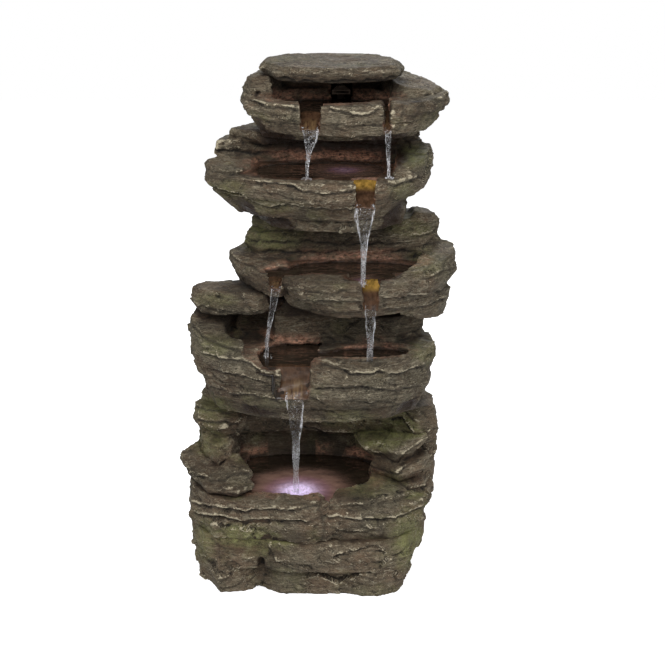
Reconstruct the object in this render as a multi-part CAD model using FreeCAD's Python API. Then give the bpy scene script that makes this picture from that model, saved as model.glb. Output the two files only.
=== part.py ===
import FreeCAD, Part
import math
import os
import random

from FreeCAD import Vector

# Free-standing cascade fountain: five hollow rock castings stacked under a cap stone.
# Millimetres. +X is the viewer's right, -Y the front, +Z up, origin on the ground under the base.

# Heights at which the castings sit on one another
pool_seat = 126.0
tier_4_seat = 358.0
tier_3_seat = 560.0
tier_2_seat = 705.0
tier_1_seat = 868.0
cap_seat = 975.0
cap_thickness = 25.0

# Casting walls
wall = 13.0
floor_thickness = 14.0
reservoir_floor = 12.0
edge_chip = 6.0             # how far a broken rock edge steps in from its straight line
chip_spacing = 75.0         # length of straight rock edge that gets one break

# Pools: height of each pool's floor above its casting's seat
pool_floor_height = floor_thickness
tier_4_floor = 82.0
tier_3_floor = 44.0
tier_2_floor = 80.0
tier_1_floor = 26.0
pool_draft = 0.06           # share by which a pool narrows from its rim to its floor

# Riser well and lead passage through every casting
riser_x, riser_y = 50.0, 74.0
well_bore = 30.0
well_wall = 8.0
register_height = 5.0
register_width = 6.0
register_clearance = 0.4
lead_bore = 14.0
lead_y = 80.0

# Pump chamber at the back of the base, and its door
chamber_half_width = 92.0
lead_x = chamber_half_width - lead_bore / 2
chamber_front, chamber_back = 58.0, 160.0
chamber_top = 322.0
back_face = 178.0
door_half_width = 80.0
door_bottom, door_top = 146.0, 292.0
door_rebate = 12.0
door_lip = 10.0
door_gap = 1.2
seal_thickness = 2.0
door_thickness = 13.0
magnet_diameter, magnet_depth = 8.0, 3.0
lift_recess_width, lift_recess_depth = 40.0, 7.0

# Submersible pump, its rotor axis along X
pump_x, pump_y = 26.0, 108.0
foot_height = 7.0
motor_length, motor_width, motor_height = 46.0, 46.0, 48.0
motor_chamfer = 4.0
rotor_diameter, rotor_length = 22.0, 30.0
rotor_clearance = 0.7
shaft_diameter = 4.0
shaft_clearance = 0.05
end_clearance = 0.4
bush_diameter, bush_length = 9.0, 4.0
volute_diameter, volute_depth = 34.0, 12.0
volute_wall = 3.0
impeller_diameter = 29.0
impeller_blades = 6
blade_thickness = 2.0
blade_height = 7.0
eye_diameter = 15.0
outlet_bore = 10.0
outlet_wall = 2.5
outlet_rise = 16.0
ring_section = 2.5
strainer_wall = 2.5
strainer_depth = 16.0
strainer_step = 1.0          # how far the strainer stands below the top of the motor
slot_width, slot_pitch = 3.0, 6.5
dial_diameter, dial_thickness = 28.0, 4.0
dial_pivot = 6.0
dial_clearance = 0.05
dial_grip_height = 5.0
foot_diameter = 13.0

# Riser hose and its fittings
hose_bore, hose_wall = 13.0, 2.0
hose_bend = 70.0
barb_length = 18.0
adapter_collar = 4.0
spout_bend = 16.0
spout_length = 26.0
clamp_width, clamp_thickness = 8.0, 1.2
grommet_height = 10.0

# Pool lights
light_diameter, light_height = 26.0, 12.0
light_flange, light_flange_thickness = 36.0, 3.0
light_clearance = 0.3
light_seal_thickness = 1.6
lens_diameter, lens_rise = 24.0, 5.0
lens_thickness = 2.0
tail_diameter, tail_length = 8.0, 5.0
lead_diameter = 3.6
lead_clearance = 0.2          # round a lead in its socket
lead_bend = 12.0
lead_drop = 15.0
pump_lead_diameter, pump_lead_bend = 5.0, 30.0
feed_bend, feed_diameter = 20.0, 6.6

# Junction, gland and return strainer
junction_size = (16.0, 52.0, 34.0)
junction_y, junction_z = 84.0, 214.0
gland_thread, gland_hex, gland_nut = 14.0, 18.0, 5.0
gland_x, gland_z = 40.0, 109.0
gland_inside, gland_outside = 144.0, 168.0
gland_bore = 7.0
return_bore = 30.0
return_x, return_y = -110.0, -16.0
return_wall = 2.0
return_height = 52.0

# Round pieces are drawn with flat sides; thin leads take every second one
round_sides = 10
lead_sides = 6
bend_steps = 3

hose_outer = hose_bore + 2 * hose_wall
well_radius = well_bore / 2
tube_radius = well_radius + register_width + register_clearance + well_wall


# Solids from outlines

def flat_faces(corner):
    """One face through four corners where they lie in a plane, otherwise two triangles."""
    a, b, c, d = corner
    off_plane = abs((b - a).cross(c - a).dot(d - a))
    if off_plane < 1e-6:
        return [Part.Face(Part.makePolygon([a, b, c, d, a]))]
    return [Part.Face(Part.makePolygon([a, b, c, a])), Part.Face(Part.makePolygon([a, c, d, a]))]


def skin(rings):
    """Closed solid through a stack of rings that have the same number of points."""
    faces = [Part.Face(Part.makePolygon(ring + ring[:1])) for ring in (rings[0], rings[-1])]
    for low, high in zip(rings, rings[1:]):
        for k in range(len(low)):
            n = (k + 1) % len(low)
            faces += flat_faces([low[k], low[n], high[n], high[k]])
    solid = Part.makeSolid(Part.makeShell(faces))
    if solid.Volume < 0:
        solid.reverse()
    return solid


def middle(corners):
    return (sum(p[0] for p in corners) / len(corners), sum(p[1] for p in corners) / len(corners))


def ring_at(corners, height, share, lean):
    """The outline at a height, scaled about its middle and leaning along X and Y."""
    cx, cy = middle(corners)
    ring = []
    for x, y in corners:
        px, py = cx + share * (x - cx), cy + share * (y - cy)
        ring.append(Vector(px, py, height + lean[0] * (px - cx) + lean[1] * (py - cy)))
    return ring


def reach(corners):
    """Mean distance of the corners from their middle."""
    cx, cy = middle(corners)
    return sum(math.hypot(x - cx, y - cy) for x, y in corners) / len(corners)


def scaled(corners, inset):
    """The outline drawn in towards its middle by about the same amount all round."""
    cx, cy = middle(corners)
    half_x = max(abs(x - cx) for x, y in corners)
    half_y = max(abs(y - cy) for x, y in corners)
    edge = inset + edge_chip
    return [(cx + (x - cx) * (1 - edge / half_x), cy + (y - cy) * (1 - edge / half_y)) for x, y in corners]


def crag(corners, seed):
    """Break each straight edge of an outline with small steps inwards."""
    draw = random.Random(seed)
    cx, cy = middle(corners)
    broken = []
    for (ax, ay), (bx, by) in zip(corners, corners[1:] + corners[:1]):
        length = math.hypot(bx - ax, by - ay)
        broken.append((ax, ay))
        if length > chip_spacing:
            t = draw.uniform(0.35, 0.65)
            x, y = ax + t * (bx - ax), ay + t * (by - ay)
            away = math.hypot(x - cx, y - cy)
            step = draw.uniform(-0.35, 1.0) * edge_chip
            broken.append((x - step * (x - cx) / away, y - step * (y - cy) / away))
    return broken


def slab(corners, bottom, top, seed, under=10.0, over=5.0, brow=0.55, lean=(0.0, 0.0)):
    """A layer of rock: undercut below its brow, and worn back a little above it."""
    outline = crag(corners, seed)
    size = reach(outline)
    rings = [ring_at(outline, bottom, 1 - under / size, lean),
             ring_at(outline, bottom + brow * (top - bottom), 1.0, lean),
             ring_at(outline, top, 1 - over / size, lean)]
    return skin(rings)


def oval(cx, cy, rx, ry, power=2.4, sides=16):
    """Points round a rounded-square oval."""
    points = []
    for k in range(sides):
        turn = 2 * math.pi * k / sides
        c, s = math.cos(turn), math.sin(turn)
        points.append((cx + rx * math.copysign(abs(c) ** (2 / power), c),
                       cy + ry * math.copysign(abs(s) ** (2 / power), s)))
    return points


def bowl(outline, floor, top, draft=pool_draft):
    """Cutter for a pool whose sides lean outwards from its floor."""
    return skin([ring_at(outline, floor, 1 - draft, (0, 0)), ring_at(outline, top, 1.0, (0, 0))])


def prism(corners, bottom, top):
    return skin([[Vector(x, y, z) for x, y in corners] for z in (bottom, top)])


def block(low, high):
    return Part.makeBox(high[0] - low[0], high[1] - low[1], high[2] - low[2], Vector(*low))


def circle(diameter, sides=round_sides):
    r = diameter / 2
    turns = [2 * math.pi * k / sides for k in range(sides)]
    return [(r * math.cos(turn), r * math.sin(turn)) for turn in turns]


def rod(x, y, bottom, top, diameter):
    return prism([(x + px, y + py) for px, py in circle(diameter)], bottom, top)


def rod_x(left, right, y, z, diameter):
    return skin([[Vector(x, y + py, z + pz) for py, pz in circle(diameter)] for x in (left, right)])


def rod_y(front, back, x, z, diameter):
    return skin([[Vector(x + px, y, z + pz) for px, pz in circle(diameter)] for y in (front, back)])


def journal(left, right, y, z, diameter):
    """A truly round rod along X, for surfaces that turn in one another."""
    return Part.makeCylinder(diameter / 2, right - left, Vector(left, y, z), Vector(1, 0, 0))


def turned(profile, x, y, z):
    """Round piece on an upright axis, from (radius, height) points going once round its section."""
    def ring(r, height):
        return [Vector(x + px, y + py, z + height) for px, py in circle(2 * r)]

    faces = []
    for (r, height), (next_r, next_height) in zip(profile, profile[1:] + profile[:1]):
        if r == 0 and next_r == 0:
            continue
        low, high = ring(r, height), ring(next_r, next_height)
        for k in range(round_sides):
            n = (k + 1) % round_sides
            corner = [low[k], low[n], high[n], high[k]]
            if r == 0:
                corner = [low[k], high[n], high[k]]
            elif next_r == 0:
                corner = [low[k], low[n], high[k]]
            faces.append(Part.Face(Part.makePolygon(corner + corner[:1])))
    solid = Part.makeSolid(Part.makeShell(faces))
    if solid.Volume < 0:
        solid.reverse()
    return solid


def united(solids):
    whole = solids[0].multiFuse(solids[1:]) if len(solids) > 1 else solids[0]
    return whole.removeSplitter()


def spill(top_left, top_right, crest, lip_left, lip_right, lip, back, face, brim):
    """Cutter for a spillway: a funnel through the rim that narrows and drops to its lip."""
    def gate(y, left, right, floor, spread):
        return [Vector(left, y, floor), Vector(right, y, floor),
                Vector(right + spread, y, brim), Vector(left - spread, y, brim)]
    return skin([gate(back, top_left, top_right, crest, 2.0),
                 gate(face, lip_left, lip_right, lip, 4.0)])


def tube(points, bend, outer, bore=0.0, sides=round_sides):
    """Tube, or a rod where it has no bore: straight runs joined by arcs of one radius."""
    points = [Vector(*p) for p in points]
    way = (points[1] - points[0]).normalize()
    across = Vector(1, 0, 0) if abs(way.z) > abs(way.x) else Vector(0, 0, 1)
    up = way.cross(across)
    stations = [(points[0], across, up)]
    for before, corner, after in zip(points, points[1:], points[2:]):
        to_back = (before - corner).normalize()
        to_next = (after - corner).normalize()
        between = to_back.getAngle(to_next)
        arc_start = corner + to_back * (bend / math.tan(between / 2))
        centre = corner + (to_back + to_next).normalize() * (bend / math.sin(between / 2))
        axis = to_next.cross(to_back)
        for k in range(bend_steps + 1):
            turn = FreeCAD.Rotation(axis, (180 - math.degrees(between)) * k / bend_steps)
            place = centre + turn.multVec(arc_start - centre)
            stations.append((place, turn.multVec(across), turn.multVec(up)))
        across, up = stations[-1][1], stations[-1][2]
    stations.append((points[-1], across, up))

    def drawn(diameter):
        return skin([[place + side * px + rise * py for px, py in circle(diameter, sides)]
                     for place, side, rise in stations])

    if not bore:
        return drawn(outer)
    past = 1.0
    stations[0] = (points[0] - way * past, stations[0][1], stations[0][2])
    stations[-1] = (points[-1] + (points[-1] - points[-2]).normalize() * past, across, up)
    inner = drawn(bore)
    stations[0] = (points[0], stations[0][1], stations[0][2])
    stations[-1] = (points[-1], across, up)
    return drawn(outer).cut(inner)


# Rock castings

def hollow(rock, cores, seat, top):
    """Core a casting, leaving the riser tube and its register socket.

    A core is (outline, bottom, ceiling); one whose bottom is the seat is open from below.
    """
    tube_keep = rod(riser_x, riser_y, seat, top, 2 * tube_radius)
    for outline, bottom, ceiling in cores:
        rock = rock.cut(prism(outline, bottom, ceiling).cut(tube_keep))
    socket = well_bore + 2 * register_width + 2 * register_clearance
    rock = rock.cut(rod(riser_x, riser_y, seat, seat + register_height + register_clearance, socket))
    return rock


def drilled(rock, bottom, top):
    """Riser well and lead passage."""
    rock = rock.cut(rod(riser_x, riser_y, bottom, top, well_bore))
    return rock.cut(rod(lead_x, lead_y, bottom, top, lead_bore))


def register(rock, seat):
    """Raised ring round the riser well that locates the casting above."""
    ring = rod(riser_x, riser_y, seat - floor_thickness, seat + register_height,
               well_bore + 2 * register_width)
    ring = ring.cut(rod(riser_x, riser_y, seat - floor_thickness, seat + register_height, well_bore))
    return rock.fuse(ring)


def trimmed(rock, bottom, top):
    """Keep what lies between two level planes."""
    span = 400.0
    return rock.common(block((-span, -span, bottom), (span, span, top)))


def light_hole(rock, place, floor):
    x, y = place
    return rock.cut(rod(x, y, floor - floor_thickness - 1, floor + 1, light_diameter + 2 * light_clearance))


# Pools, as (middle x, middle y, half width, half depth)
pool_1 = (32.0, -52.0, 112.0, 78.0)
pool_2 = (12.0, -56.0, 124.0, 78.0)
pool_3_back = (72.0, -72.0, 122.0, 46.0)
pool_3_front = (104.0, -128.0, 44.0, 34.0)
pool_3_left = (-48.0, -100.0, 46.0, 24.0)
pool_4_left = (-58.0, -118.0, 50.0, 76.0)
pool_4_right = (104.0, -104.0, 76.0, 38.0)
base_pool = (-26.0, -60.0, 140.0, 100.0)

# Lights, as (x, y) on the floor of their pool
light_2 = (62.0, -40.0)
light_3 = (70.0, -84.0)
light_base = (-34.0, -104.0)


def cap_stone():
    corners = [(-97, -40), (-66, -110), (-22, -138), (30, -150), (96, -138), (150, -100),
               (163, -42), (148, 34), (96, 86), (10, 98), (-62, 72), (-92, 14)]
    return slab(corners, cap_seat, cap_seat + cap_thickness, 11, under=8, over=9, brow=0.6)


def tier_1():
    s = tier_1_seat
    foot = slab([(-98, -62), (-30, -104), (60, -114), (150, -90), (194, -42), (172, 62),
                 (60, 102), (-60, 92), (-104, 20)], s, s + 20, 21, under=4)
    lower = slab([(-112, -50), (-96, -100), (-60, -130), (-22, -148), (60, -160), (120, -152),
                  (162, -124), (206, -88), (230, -38), (224, 30), (160, 88), (40, 106),
                  (-70, 92), (-114, 30)], s + 15, s + 47, 22, under=12)
    upper = slab([(-134, -30), (-126, -84), (-88, -126), (-44, -152), (-14, -160), (18, -166),
                  (74, -170), (118, -164), (142, -148), (168, -140), (204, -112), (232, -72),
                  (248, -22), (240, 36), (186, 86), (60, 108), (-60, 96), (-118, 50)],
                 s + 42, s + 74, 23, under=9, lean=(0.0, 0.03))
    left = slab([(-130, -22), (-112, -66), (-74, -76), (-60, -24), (-58, 60), (-106, 62)],
                s + 68, s + 106, 24, under=3, over=12, lean=(0.12, 0.0))
    right = slab([(124, -42), (166, -78), (216, -56), (240, -8), (212, 48), (150, 88), (120, 60)],
                 s + 66, s + 96, 25, under=3, over=8, lean=(-0.22, 0.1))
    back = slab([(-66, 34), (150, 30), (168, 62), (92, 104), (-30, 104), (-86, 72)],
                s + 66, s + 107, 26, under=2, over=2)
    rock = trimmed(united([foot, lower, upper, left, right, back]), s, cap_seat)
    basin = bowl(oval(*pool_1), s + tier_1_floor, cap_seat + 1)
    rock = rock.cut(basin)
    rock = rock.cut(spill(-25, 16, s + 50, -19, 9, s + 26, -110, -176, s + 90))
    rock = rock.cut(spill(120, 138, s + 48, 126, 134, s + 24, -84, -172, s + 90))
    gallery = block((riser_x - 22, pool_1[1], s + tier_1_floor), (riser_x + 22, riser_y + 20, s + 98))
    rock = hollow(rock.cut(gallery), [], s, s + tier_1_floor)
    return drilled(rock, s, s + tier_1_floor)


def tier_2():
    s = tier_2_seat
    foot = slab([(-106, -20), (-82, -78), (-20, -124), (50, -134), (120, -108), (168, -60),
                 (176, 10), (160, 84), (90, 112), (-20, 114), (-92, 84)], s, s + 33, 31, under=6)
    lower = slab([(-190, -24), (-172, -74), (-112, -124), (-56, -154), (8, -176), (62, -178),
                  (116, -164), (158, -122), (186, -66), (194, 0), (164, 68), (60, 106),
                  (-60, 102), (-154, 56)], s + 26, s + 72, 32, under=34, over=8, brow=0.75)
    main = slab([(-200, -30), (-190, -84), (-152, -124), (-102, -152), (-60, -174), (-22, -188),
                 (30, -198), (75, -194), (125, -174), (162, -142), (192, -102), (212, -52),
                 (214, 22), (160, 92), (20, 118), (-110, 108), (-188, 46)],
                s + 66, s + 102, 33, under=10, over=4)
    left_rim = slab([(-201, -30), (-178, -88), (-136, -116), (-116, -70), (-104, 20), (-172, 32)],
                    s + 94, s + 113, 34, under=3, over=7, lean=(-0.06, 0.05))
    right_rim = slab([(140, -136), (170, -132), (202, -80), (219, -20), (223, 32), (180, 62),
                      (152, 20), (146, -60)], s + 94, s + 126, 35, under=3, over=7, lean=(0.12, 0.08))
    ledge = slab([(-186, 2), (-152, 6), (-92, 18), (-20, 24), (60, 24), (132, 14), (184, -10),
                  (210, 18), (202, 70), (122, 112), (0, 122), (-112, 110), (-174, 66)],
                 s + 96, s + 144, 36, under=5, over=4)
    column = slab([(-160, 28), (-104, -16), (-30, 10), (80, 6), (160, -14), (200, 30), (182, 76),
                   (92, 113), (-20, 116), (-122, 92)], s + 138, s + 163, 37, under=8, over=3)
    spine = slab([(-96, 46), (-20, 36), (150, 36), (168, 76), (92, 114), (-20, 116), (-98, 92)],
                 s, s + 100, 38, under=3, over=2)
    rock = trimmed(united([foot, lower, main, left_rim, right_rim, ledge, column, spine]),
                   s, tier_1_seat)
    rock = rock.cut(bowl(oval(*pool_2), s + tier_2_floor, s + 138))
    rock = rock.cut(spill(68, 114, s + 96, 77, 104, s + 56, -128, -204, s + 160))
    ceiling = s + tier_2_floor - floor_thickness
    core = [(-84, -20), (-64, -62), (-16, -96), (46, -104), (104, -84), (140, -44), (142, 12),
            (118, 52), (0, 74), (-64, 48)]
    back_core = [(-60, 40), (138, 36), (144, 66), (84, 95), (-10, 97), (-68, 76)]
    rock = hollow(rock, [(core, s + wall, ceiling), (back_core, s, tier_1_seat - floor_thickness)],
                  s, tier_1_seat)
    rock = light_hole(rock, light_2, s + tier_2_floor)
    return drilled(register(rock, tier_1_seat), s, tier_1_seat + register_height)


def tier_3():
    s = tier_3_seat
    foot = slab([(-52, -110), (2, -166), (44, -186), (110, -182), (172, -154), (216, -104),
                 (240, -52), (238, 22), (182, 84), (60, 112), (-44, 94), (-84, 20)],
                s, s + 36, 41, under=14, over=2)
    main = slab([(-46, -150), (-24, -186), (30, -197), (100, -201), (160, -184), (212, -144),
                 (250, -92), (270, -26), (262, 36), (200, 92), (60, 118), (-74, 100),
                 (-104, 24), (-84, -62)], s + 28, s + 67, 42, under=15, over=5)
    wedge = slab([(-166, 0), (-150, -58), (-112, -112), (-76, -148), (-56, -150), (-40, -120),
                  (-48, -40), (-60, 42), (-140, 52)], s + 33, s + 74, 43, under=14, over=4,
                 lean=(-0.06, 0.06))
    right_low = slab([(146, -146), (192, -132), (234, -88), (255, -40), (253, 30), (226, 48),
                      (218, -16), (196, -62), (160, -84)],
                     s - 24, s + 34, 44, under=12, over=2, brow=0.7, lean=(-0.30, 0.0))
    right_rim = slab([(154, -150), (196, -138), (236, -98), (264, -42), (270, 22), (226, 62),
                      (196, 30), (200, -40), (176, -104)], s + 58, s + 84, 45, under=3, over=6,
                     lean=(0.03, 0.08))
    rear = slab([(-134, 4), (-108, -36), (-34, -26), (60, -24), (140, -26), (196, -22), (232, 4),
                 (240, 34), (226, 74), (130, 116), (0, 126), (-94, 96)], s + 62, s + 122, 46,
                under=5, over=6)
    rear_top = slab([(-122, 10), (-84, -30), (-10, -16), (90, -20), (168, -26), (204, 10),
                     (196, 70), (100, 110), (-40, 112), (-104, 72)], s + 116, s + 145, 47,
                    under=6, over=3)
    peak = slab([(178, -12), (216, -10), (242, 22), (217, 62), (180, 60)], s + 118, s + 152, 48,
                under=5, over=12, lean=(-0.15, 0.0))
    spine = slab([(-104, 20), (-40, 4), (180, 0), (208, 30), (198, 62), (130, 114), (-20, 116),
                  (-102, 86)], s, s + 60, 49, under=3, over=2)
    above = block((-400, -400, tier_2_seat), (176, 400, tier_2_seat + 60))
    rock = united([foot, main, wedge, right_low, right_rim, rear, rear_top, peak, spine]).cut(above)
    floor = s + tier_3_floor
    for pool in (pool_3_back, pool_3_front, pool_3_left):
        rock = rock.cut(bowl(oval(*pool), floor, s + 96))
    rock = rock.cut(spill(84, 122, s + 60, 92, 112, s + 18, -150, -208, s + 90))
    exit_left = skin([[Vector(-88, -108, s + 56), Vector(-56, -108, s + 56),
                       Vector(-50, -108, s + 90), Vector(-94, -108, s + 90)],
                      [Vector(-74, -164, s + 50), Vector(-62, -164, s + 50),
                       Vector(-54, -164, s + 90), Vector(-82, -164, s + 90)]])
    rock = rock.cut(exit_left)
    core = [(-34, -66), (10, -128), (50, -146), (106, -142), (156, -118), (192, -80), (206, -40),
            (204, 16), (164, 60), (54, 88), (-34, 74), (-62, 20)]
    back_core = [(-70, 30), (160, 24), (186, 40), (120, 92), (-20, 94), (-80, 66)]
    rock = hollow(rock, [(core, s + wall, floor - floor_thickness),
                         (back_core, s, tier_2_seat - floor_thickness)], s, tier_2_seat)
    rock = light_hole(rock, light_3, floor)
    return drilled(register(rock, tier_2_seat), s, tier_2_seat + register_height)


def tier_4():
    s = tier_4_seat
    foot = slab([(-214, -50), (-192, -112), (-112, -158), (-24, -180), (60, -186), (142, -166),
                 (198, -114), (214, -42), (206, 42), (152, 102), (20, 132), (-122, 118),
                 (-200, 52)], s, s + 40, 51, under=10, over=3)
    lower = slab([(-218, -60), (-198, -132), (-142, -172), (-60, -198), (20, -203), (100, -200),
                  (166, -176), (210, -122), (222, -40), (213, 52), (122, 118), (-60, 128),
                  (-194, 72)], s + 32, s + 80, 52, under=10, over=5)
    left = slab([(-236, -50), (-226, -112), (-168, -172), (-94, -202), (-62, -206), (-44, -186),
                 (-40, -120), (-60, -20), (-150, 30), (-226, 24)], s + 72, s + 124, 53,
                under=9, over=4)
    right = slab([(-16, -190), (-6, -204), (50, -208), (112, -203), (162, -176), (204, -128),
                  (231, -62), (230, 12), (182, 62), (60, 70), (6, -60)], s + 72, s + 114, 54,
                 under=8, over=6, lean=(0.02, -0.02))
    side = slab([(-241, -42), (-233, -96), (-208, -142), (-168, -166), (-128, -160), (-132, -120),
                 (-166, -84), (-166, -20), (-150, 34), (-226, 34)], s + 116, s + 158, 55,
                under=4, over=6, lean=(-0.10, 0.22))
    ledge = slab([(-239, -30), (-224, -64), (-168, -106), (-104, -118), (-54, -76), (-58, -12),
                  (-120, 16), (-216, 6)], s + 178, s + 224, 56, under=12, over=8, brow=0.4,
                 lean=(0.03, -0.05))
    column = slab([(-172, 0), (-116, -62), (-50, -50), (20, -44), (80, -56), (152, -60),
                   (208, -20), (217, 42), (152, 108), (0, 132), (-112, 112)], s + 108, s + 164, 57,
                  under=4, over=6)
    neck = slab([(-176, 4), (-120, -54), (-40, -40), (40, -46), (120, -52), (188, -22), (204, 30),
                 (140, 98), (0, 122), (-110, 104), (-168, 60)], s + 158, s + 202, 58,
                under=5, over=4)
    rear = slab([(-204, 14), (-120, -20), (60, -20), (180, -10), (220, 30), (204, 84), (122, 120),
                 (0, 132), (-112, 124), (-196, 78)], s + 74, s + 114, 59, under=6, over=4)
    above = block((-60, -400, tier_3_seat), (400, 400, tier_3_seat + 60))
    rock = united([foot, lower, left, right, side, ledge, column, neck, rear]).cut(above)
    floor = s + tier_4_floor
    rock = rock.cut(bowl(oval(*pool_4_left), floor, s + 178))
    rock = rock.cut(bowl(oval(*pool_4_right), floor + 14, s + 150))
    link = block((pool_4_left[0], -132, floor + 16), (pool_4_right[0] - 40, -90, s + 130))
    rock = rock.cut(link)
    hollow_left = bowl(oval(-122, -66, 50, 56), s + 112, s + 186)
    rock = rock.cut(hollow_left)
    rock = rock.cut(spill(-76, -4, s + 102, -48, -19, s + 48, -160, -216, s + 150))
    core = [(-168, -50), (-152, -94), (-92, -130), (-20, -148), (58, -152), (128, -134), (170, -94),
            (182, -40), (174, 30), (130, 78), (16, 104), (-108, 92), (-164, 44)]
    back_core = [(-130, 10), (-20, 2), (110, 0), (176, 12), (124, 82), (0, 104), (-104, 88)]
    rock = hollow(rock, [(core, s + wall, floor - floor_thickness),
                         (back_core, s, tier_3_seat - floor_thickness)], s, tier_3_seat)
    return drilled(register(rock, tier_3_seat), s, tier_3_seat + register_height)


def pool_casting():
    s = pool_seat
    lower_outline = [(-247, -60), (-242, -132), (-192, -188), (-112, -207), (-46, -214), (16, -214),
                     (34, -204), (102, -208), (162, -192), (206, -152), (216, -86), (224, -20),
                     (222, 92), (160, 160), (20, 178), (-120, 176), (-224, 120), (-250, 20)]
    lower = slab(lower_outline, s, s + 52, 61, under=7, over=5)
    lip = slab([(-248, -60), (-236, -124), (-192, -184), (-112, -204), (-46, -213), (14, -215),
                (30, -194), (8, -150), (-100, -130), (-140, -70), (-140, 40), (-150, 104),
                (-232, 96)],
               s + 46, s + 77, 62, under=6, over=4)
    right_block = slab([(20, -204), (82, -211), (152, -195), (208, -144), (232, -72), (236, 22),
                        (190, 62), (160, -60), (92, -120), (34, -150)], s + 22, s + 62, 63,
                       under=8, over=3)
    shelf = slab([(26, -192), (62, -190), (150, -168), (206, -114), (222, -60), (200, 20),
                  (120, 0), (96, -70), (50, -120)], s + 56, s + 82, 64, under=3, over=8)
    left_low = slab([(-236, -8), (-226, -66), (-188, -104), (-162, -78), (-152, -20), (-150, 60),
                     (-152, 124), (-226, 114)], s + 84, s + 148, 65, under=5, over=14, brow=0.35,
                    lean=(0.0, 0.05))
    left_high = slab([(-247, -2), (-228, -50), (-176, -72), (-132, -46), (-120, 30), (-150, 122),
                      (-228, 112)], s + 146, s + 204, 69, under=16, over=12, brow=0.6,
                     lean=(0.05, 0.0))
    right_low = slab([(230, -46), (196, -92), (160, -76), (128, -10), (134, 60), (140, 122),
                      (204, 130), (240, 44)], s + 52, s + 112, 66, under=5, over=8, brow=0.6)
    right_high = slab([(242, -34), (202, -58), (150, -38), (120, 20), (136, 122), (204, 132),
                       (248, 42)], s + 104, s + 206, 70, under=10, over=18, brow=0.45,
                      lean=(-0.08, 0.0))
    back_low = slab([(-240, 20), (-164, 30), (-100, 52), (0, 50), (80, 36), (150, -6), (216, -14),
                     (240, 32), (226, 112), (150, 160), (60, 178), (-80, 178), (-150, 168),
                     (-226, 116)], s + 46, s + 150, 67, under=2, over=4)
    back_high = slab([(-238, 10), (-176, -28), (-90, -14), (20, -4), (110, -26), (186, -34),
                      (230, 20), (216, 104), (130, 158), (60, 176), (-80, 176), (-140, 156),
                      (-222, 96)], s + 140, s + 232, 68, under=6, over=16, brow=0.5)
    frame_pad = block((-door_half_width - 14, chamber_back - 10, s),
                      (door_half_width + 14, back_face, door_top + 12))
    rock = united([lower, lip, right_block, shelf, left_low, left_high, right_low, right_high,
                   back_low, back_high, frame_pad])
    rock = rock.cut(block((-300, back_face, s - 1), (300, back_face + 60, tier_4_seat + 1)))
    rock = trimmed(rock, s, tier_4_seat)
    floor = s + pool_floor_height
    rock = rock.cut(bowl(oval(*base_pool), floor, s + 142))
    ring = prism(scaled(lower_outline, wall), s, s + 48)
    middle_x, middle_y, half_x, half_y = base_pool
    ring = ring.cut(prism(oval(middle_x, middle_y, half_x + wall, half_y + wall), s, s + 50))
    ring = ring.cut(block((-chamber_half_width - wall, chamber_front - wall, s),
                          (chamber_half_width + wall, back_face, s + 50)))
    left_core = [(-206, -34), (-196, -50), (-184, -42), (-180, 10), (-160, 54), (-112, 76),
                 (-112, 140), (-176, 98), (-206, 60)]
    right_core = [(142, 4), (172, -24), (194, -18), (202, 40), (186, 90), (150, 118), (112, 128),
                  (112, 76), (138, 44)]
    rock = rock.cut(ring).cut(prism(left_core, s, s + 134)).cut(prism(right_core, s, s + 150))
    chamber = [(-chamber_half_width, chamber_front), (chamber_half_width, chamber_front),
               (chamber_half_width, chamber_back), (-chamber_half_width, chamber_back)]
    rock = rock.cut(prism(chamber, s, chamber_top))
    rock = door_opening(rock)
    rock = light_hole(rock, light_base, floor)
    rock = rock.cut(rod(return_x, return_y, s, floor + 1, return_bore))
    rock = drilled(rock, chamber_top - 1, tier_4_seat)
    return drilled(register(rock, tier_4_seat), tier_4_seat - floor_thickness,
                   tier_4_seat + register_height)


def door_opening(rock):
    outer = block((-door_half_width, back_face - door_rebate, door_bottom),
                  (door_half_width, back_face + 1, door_top))
    inner = block((-door_half_width + door_lip, chamber_back - 1, door_bottom + door_lip),
                  (door_half_width - door_lip, back_face + 1, door_top - door_lip))
    rock = rock.cut(outer).cut(inner)
    for x, z in magnet_places():
        rock = rock.cut(magnet_seat(x, z, back_face - door_rebate, -1))
    return rock


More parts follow.
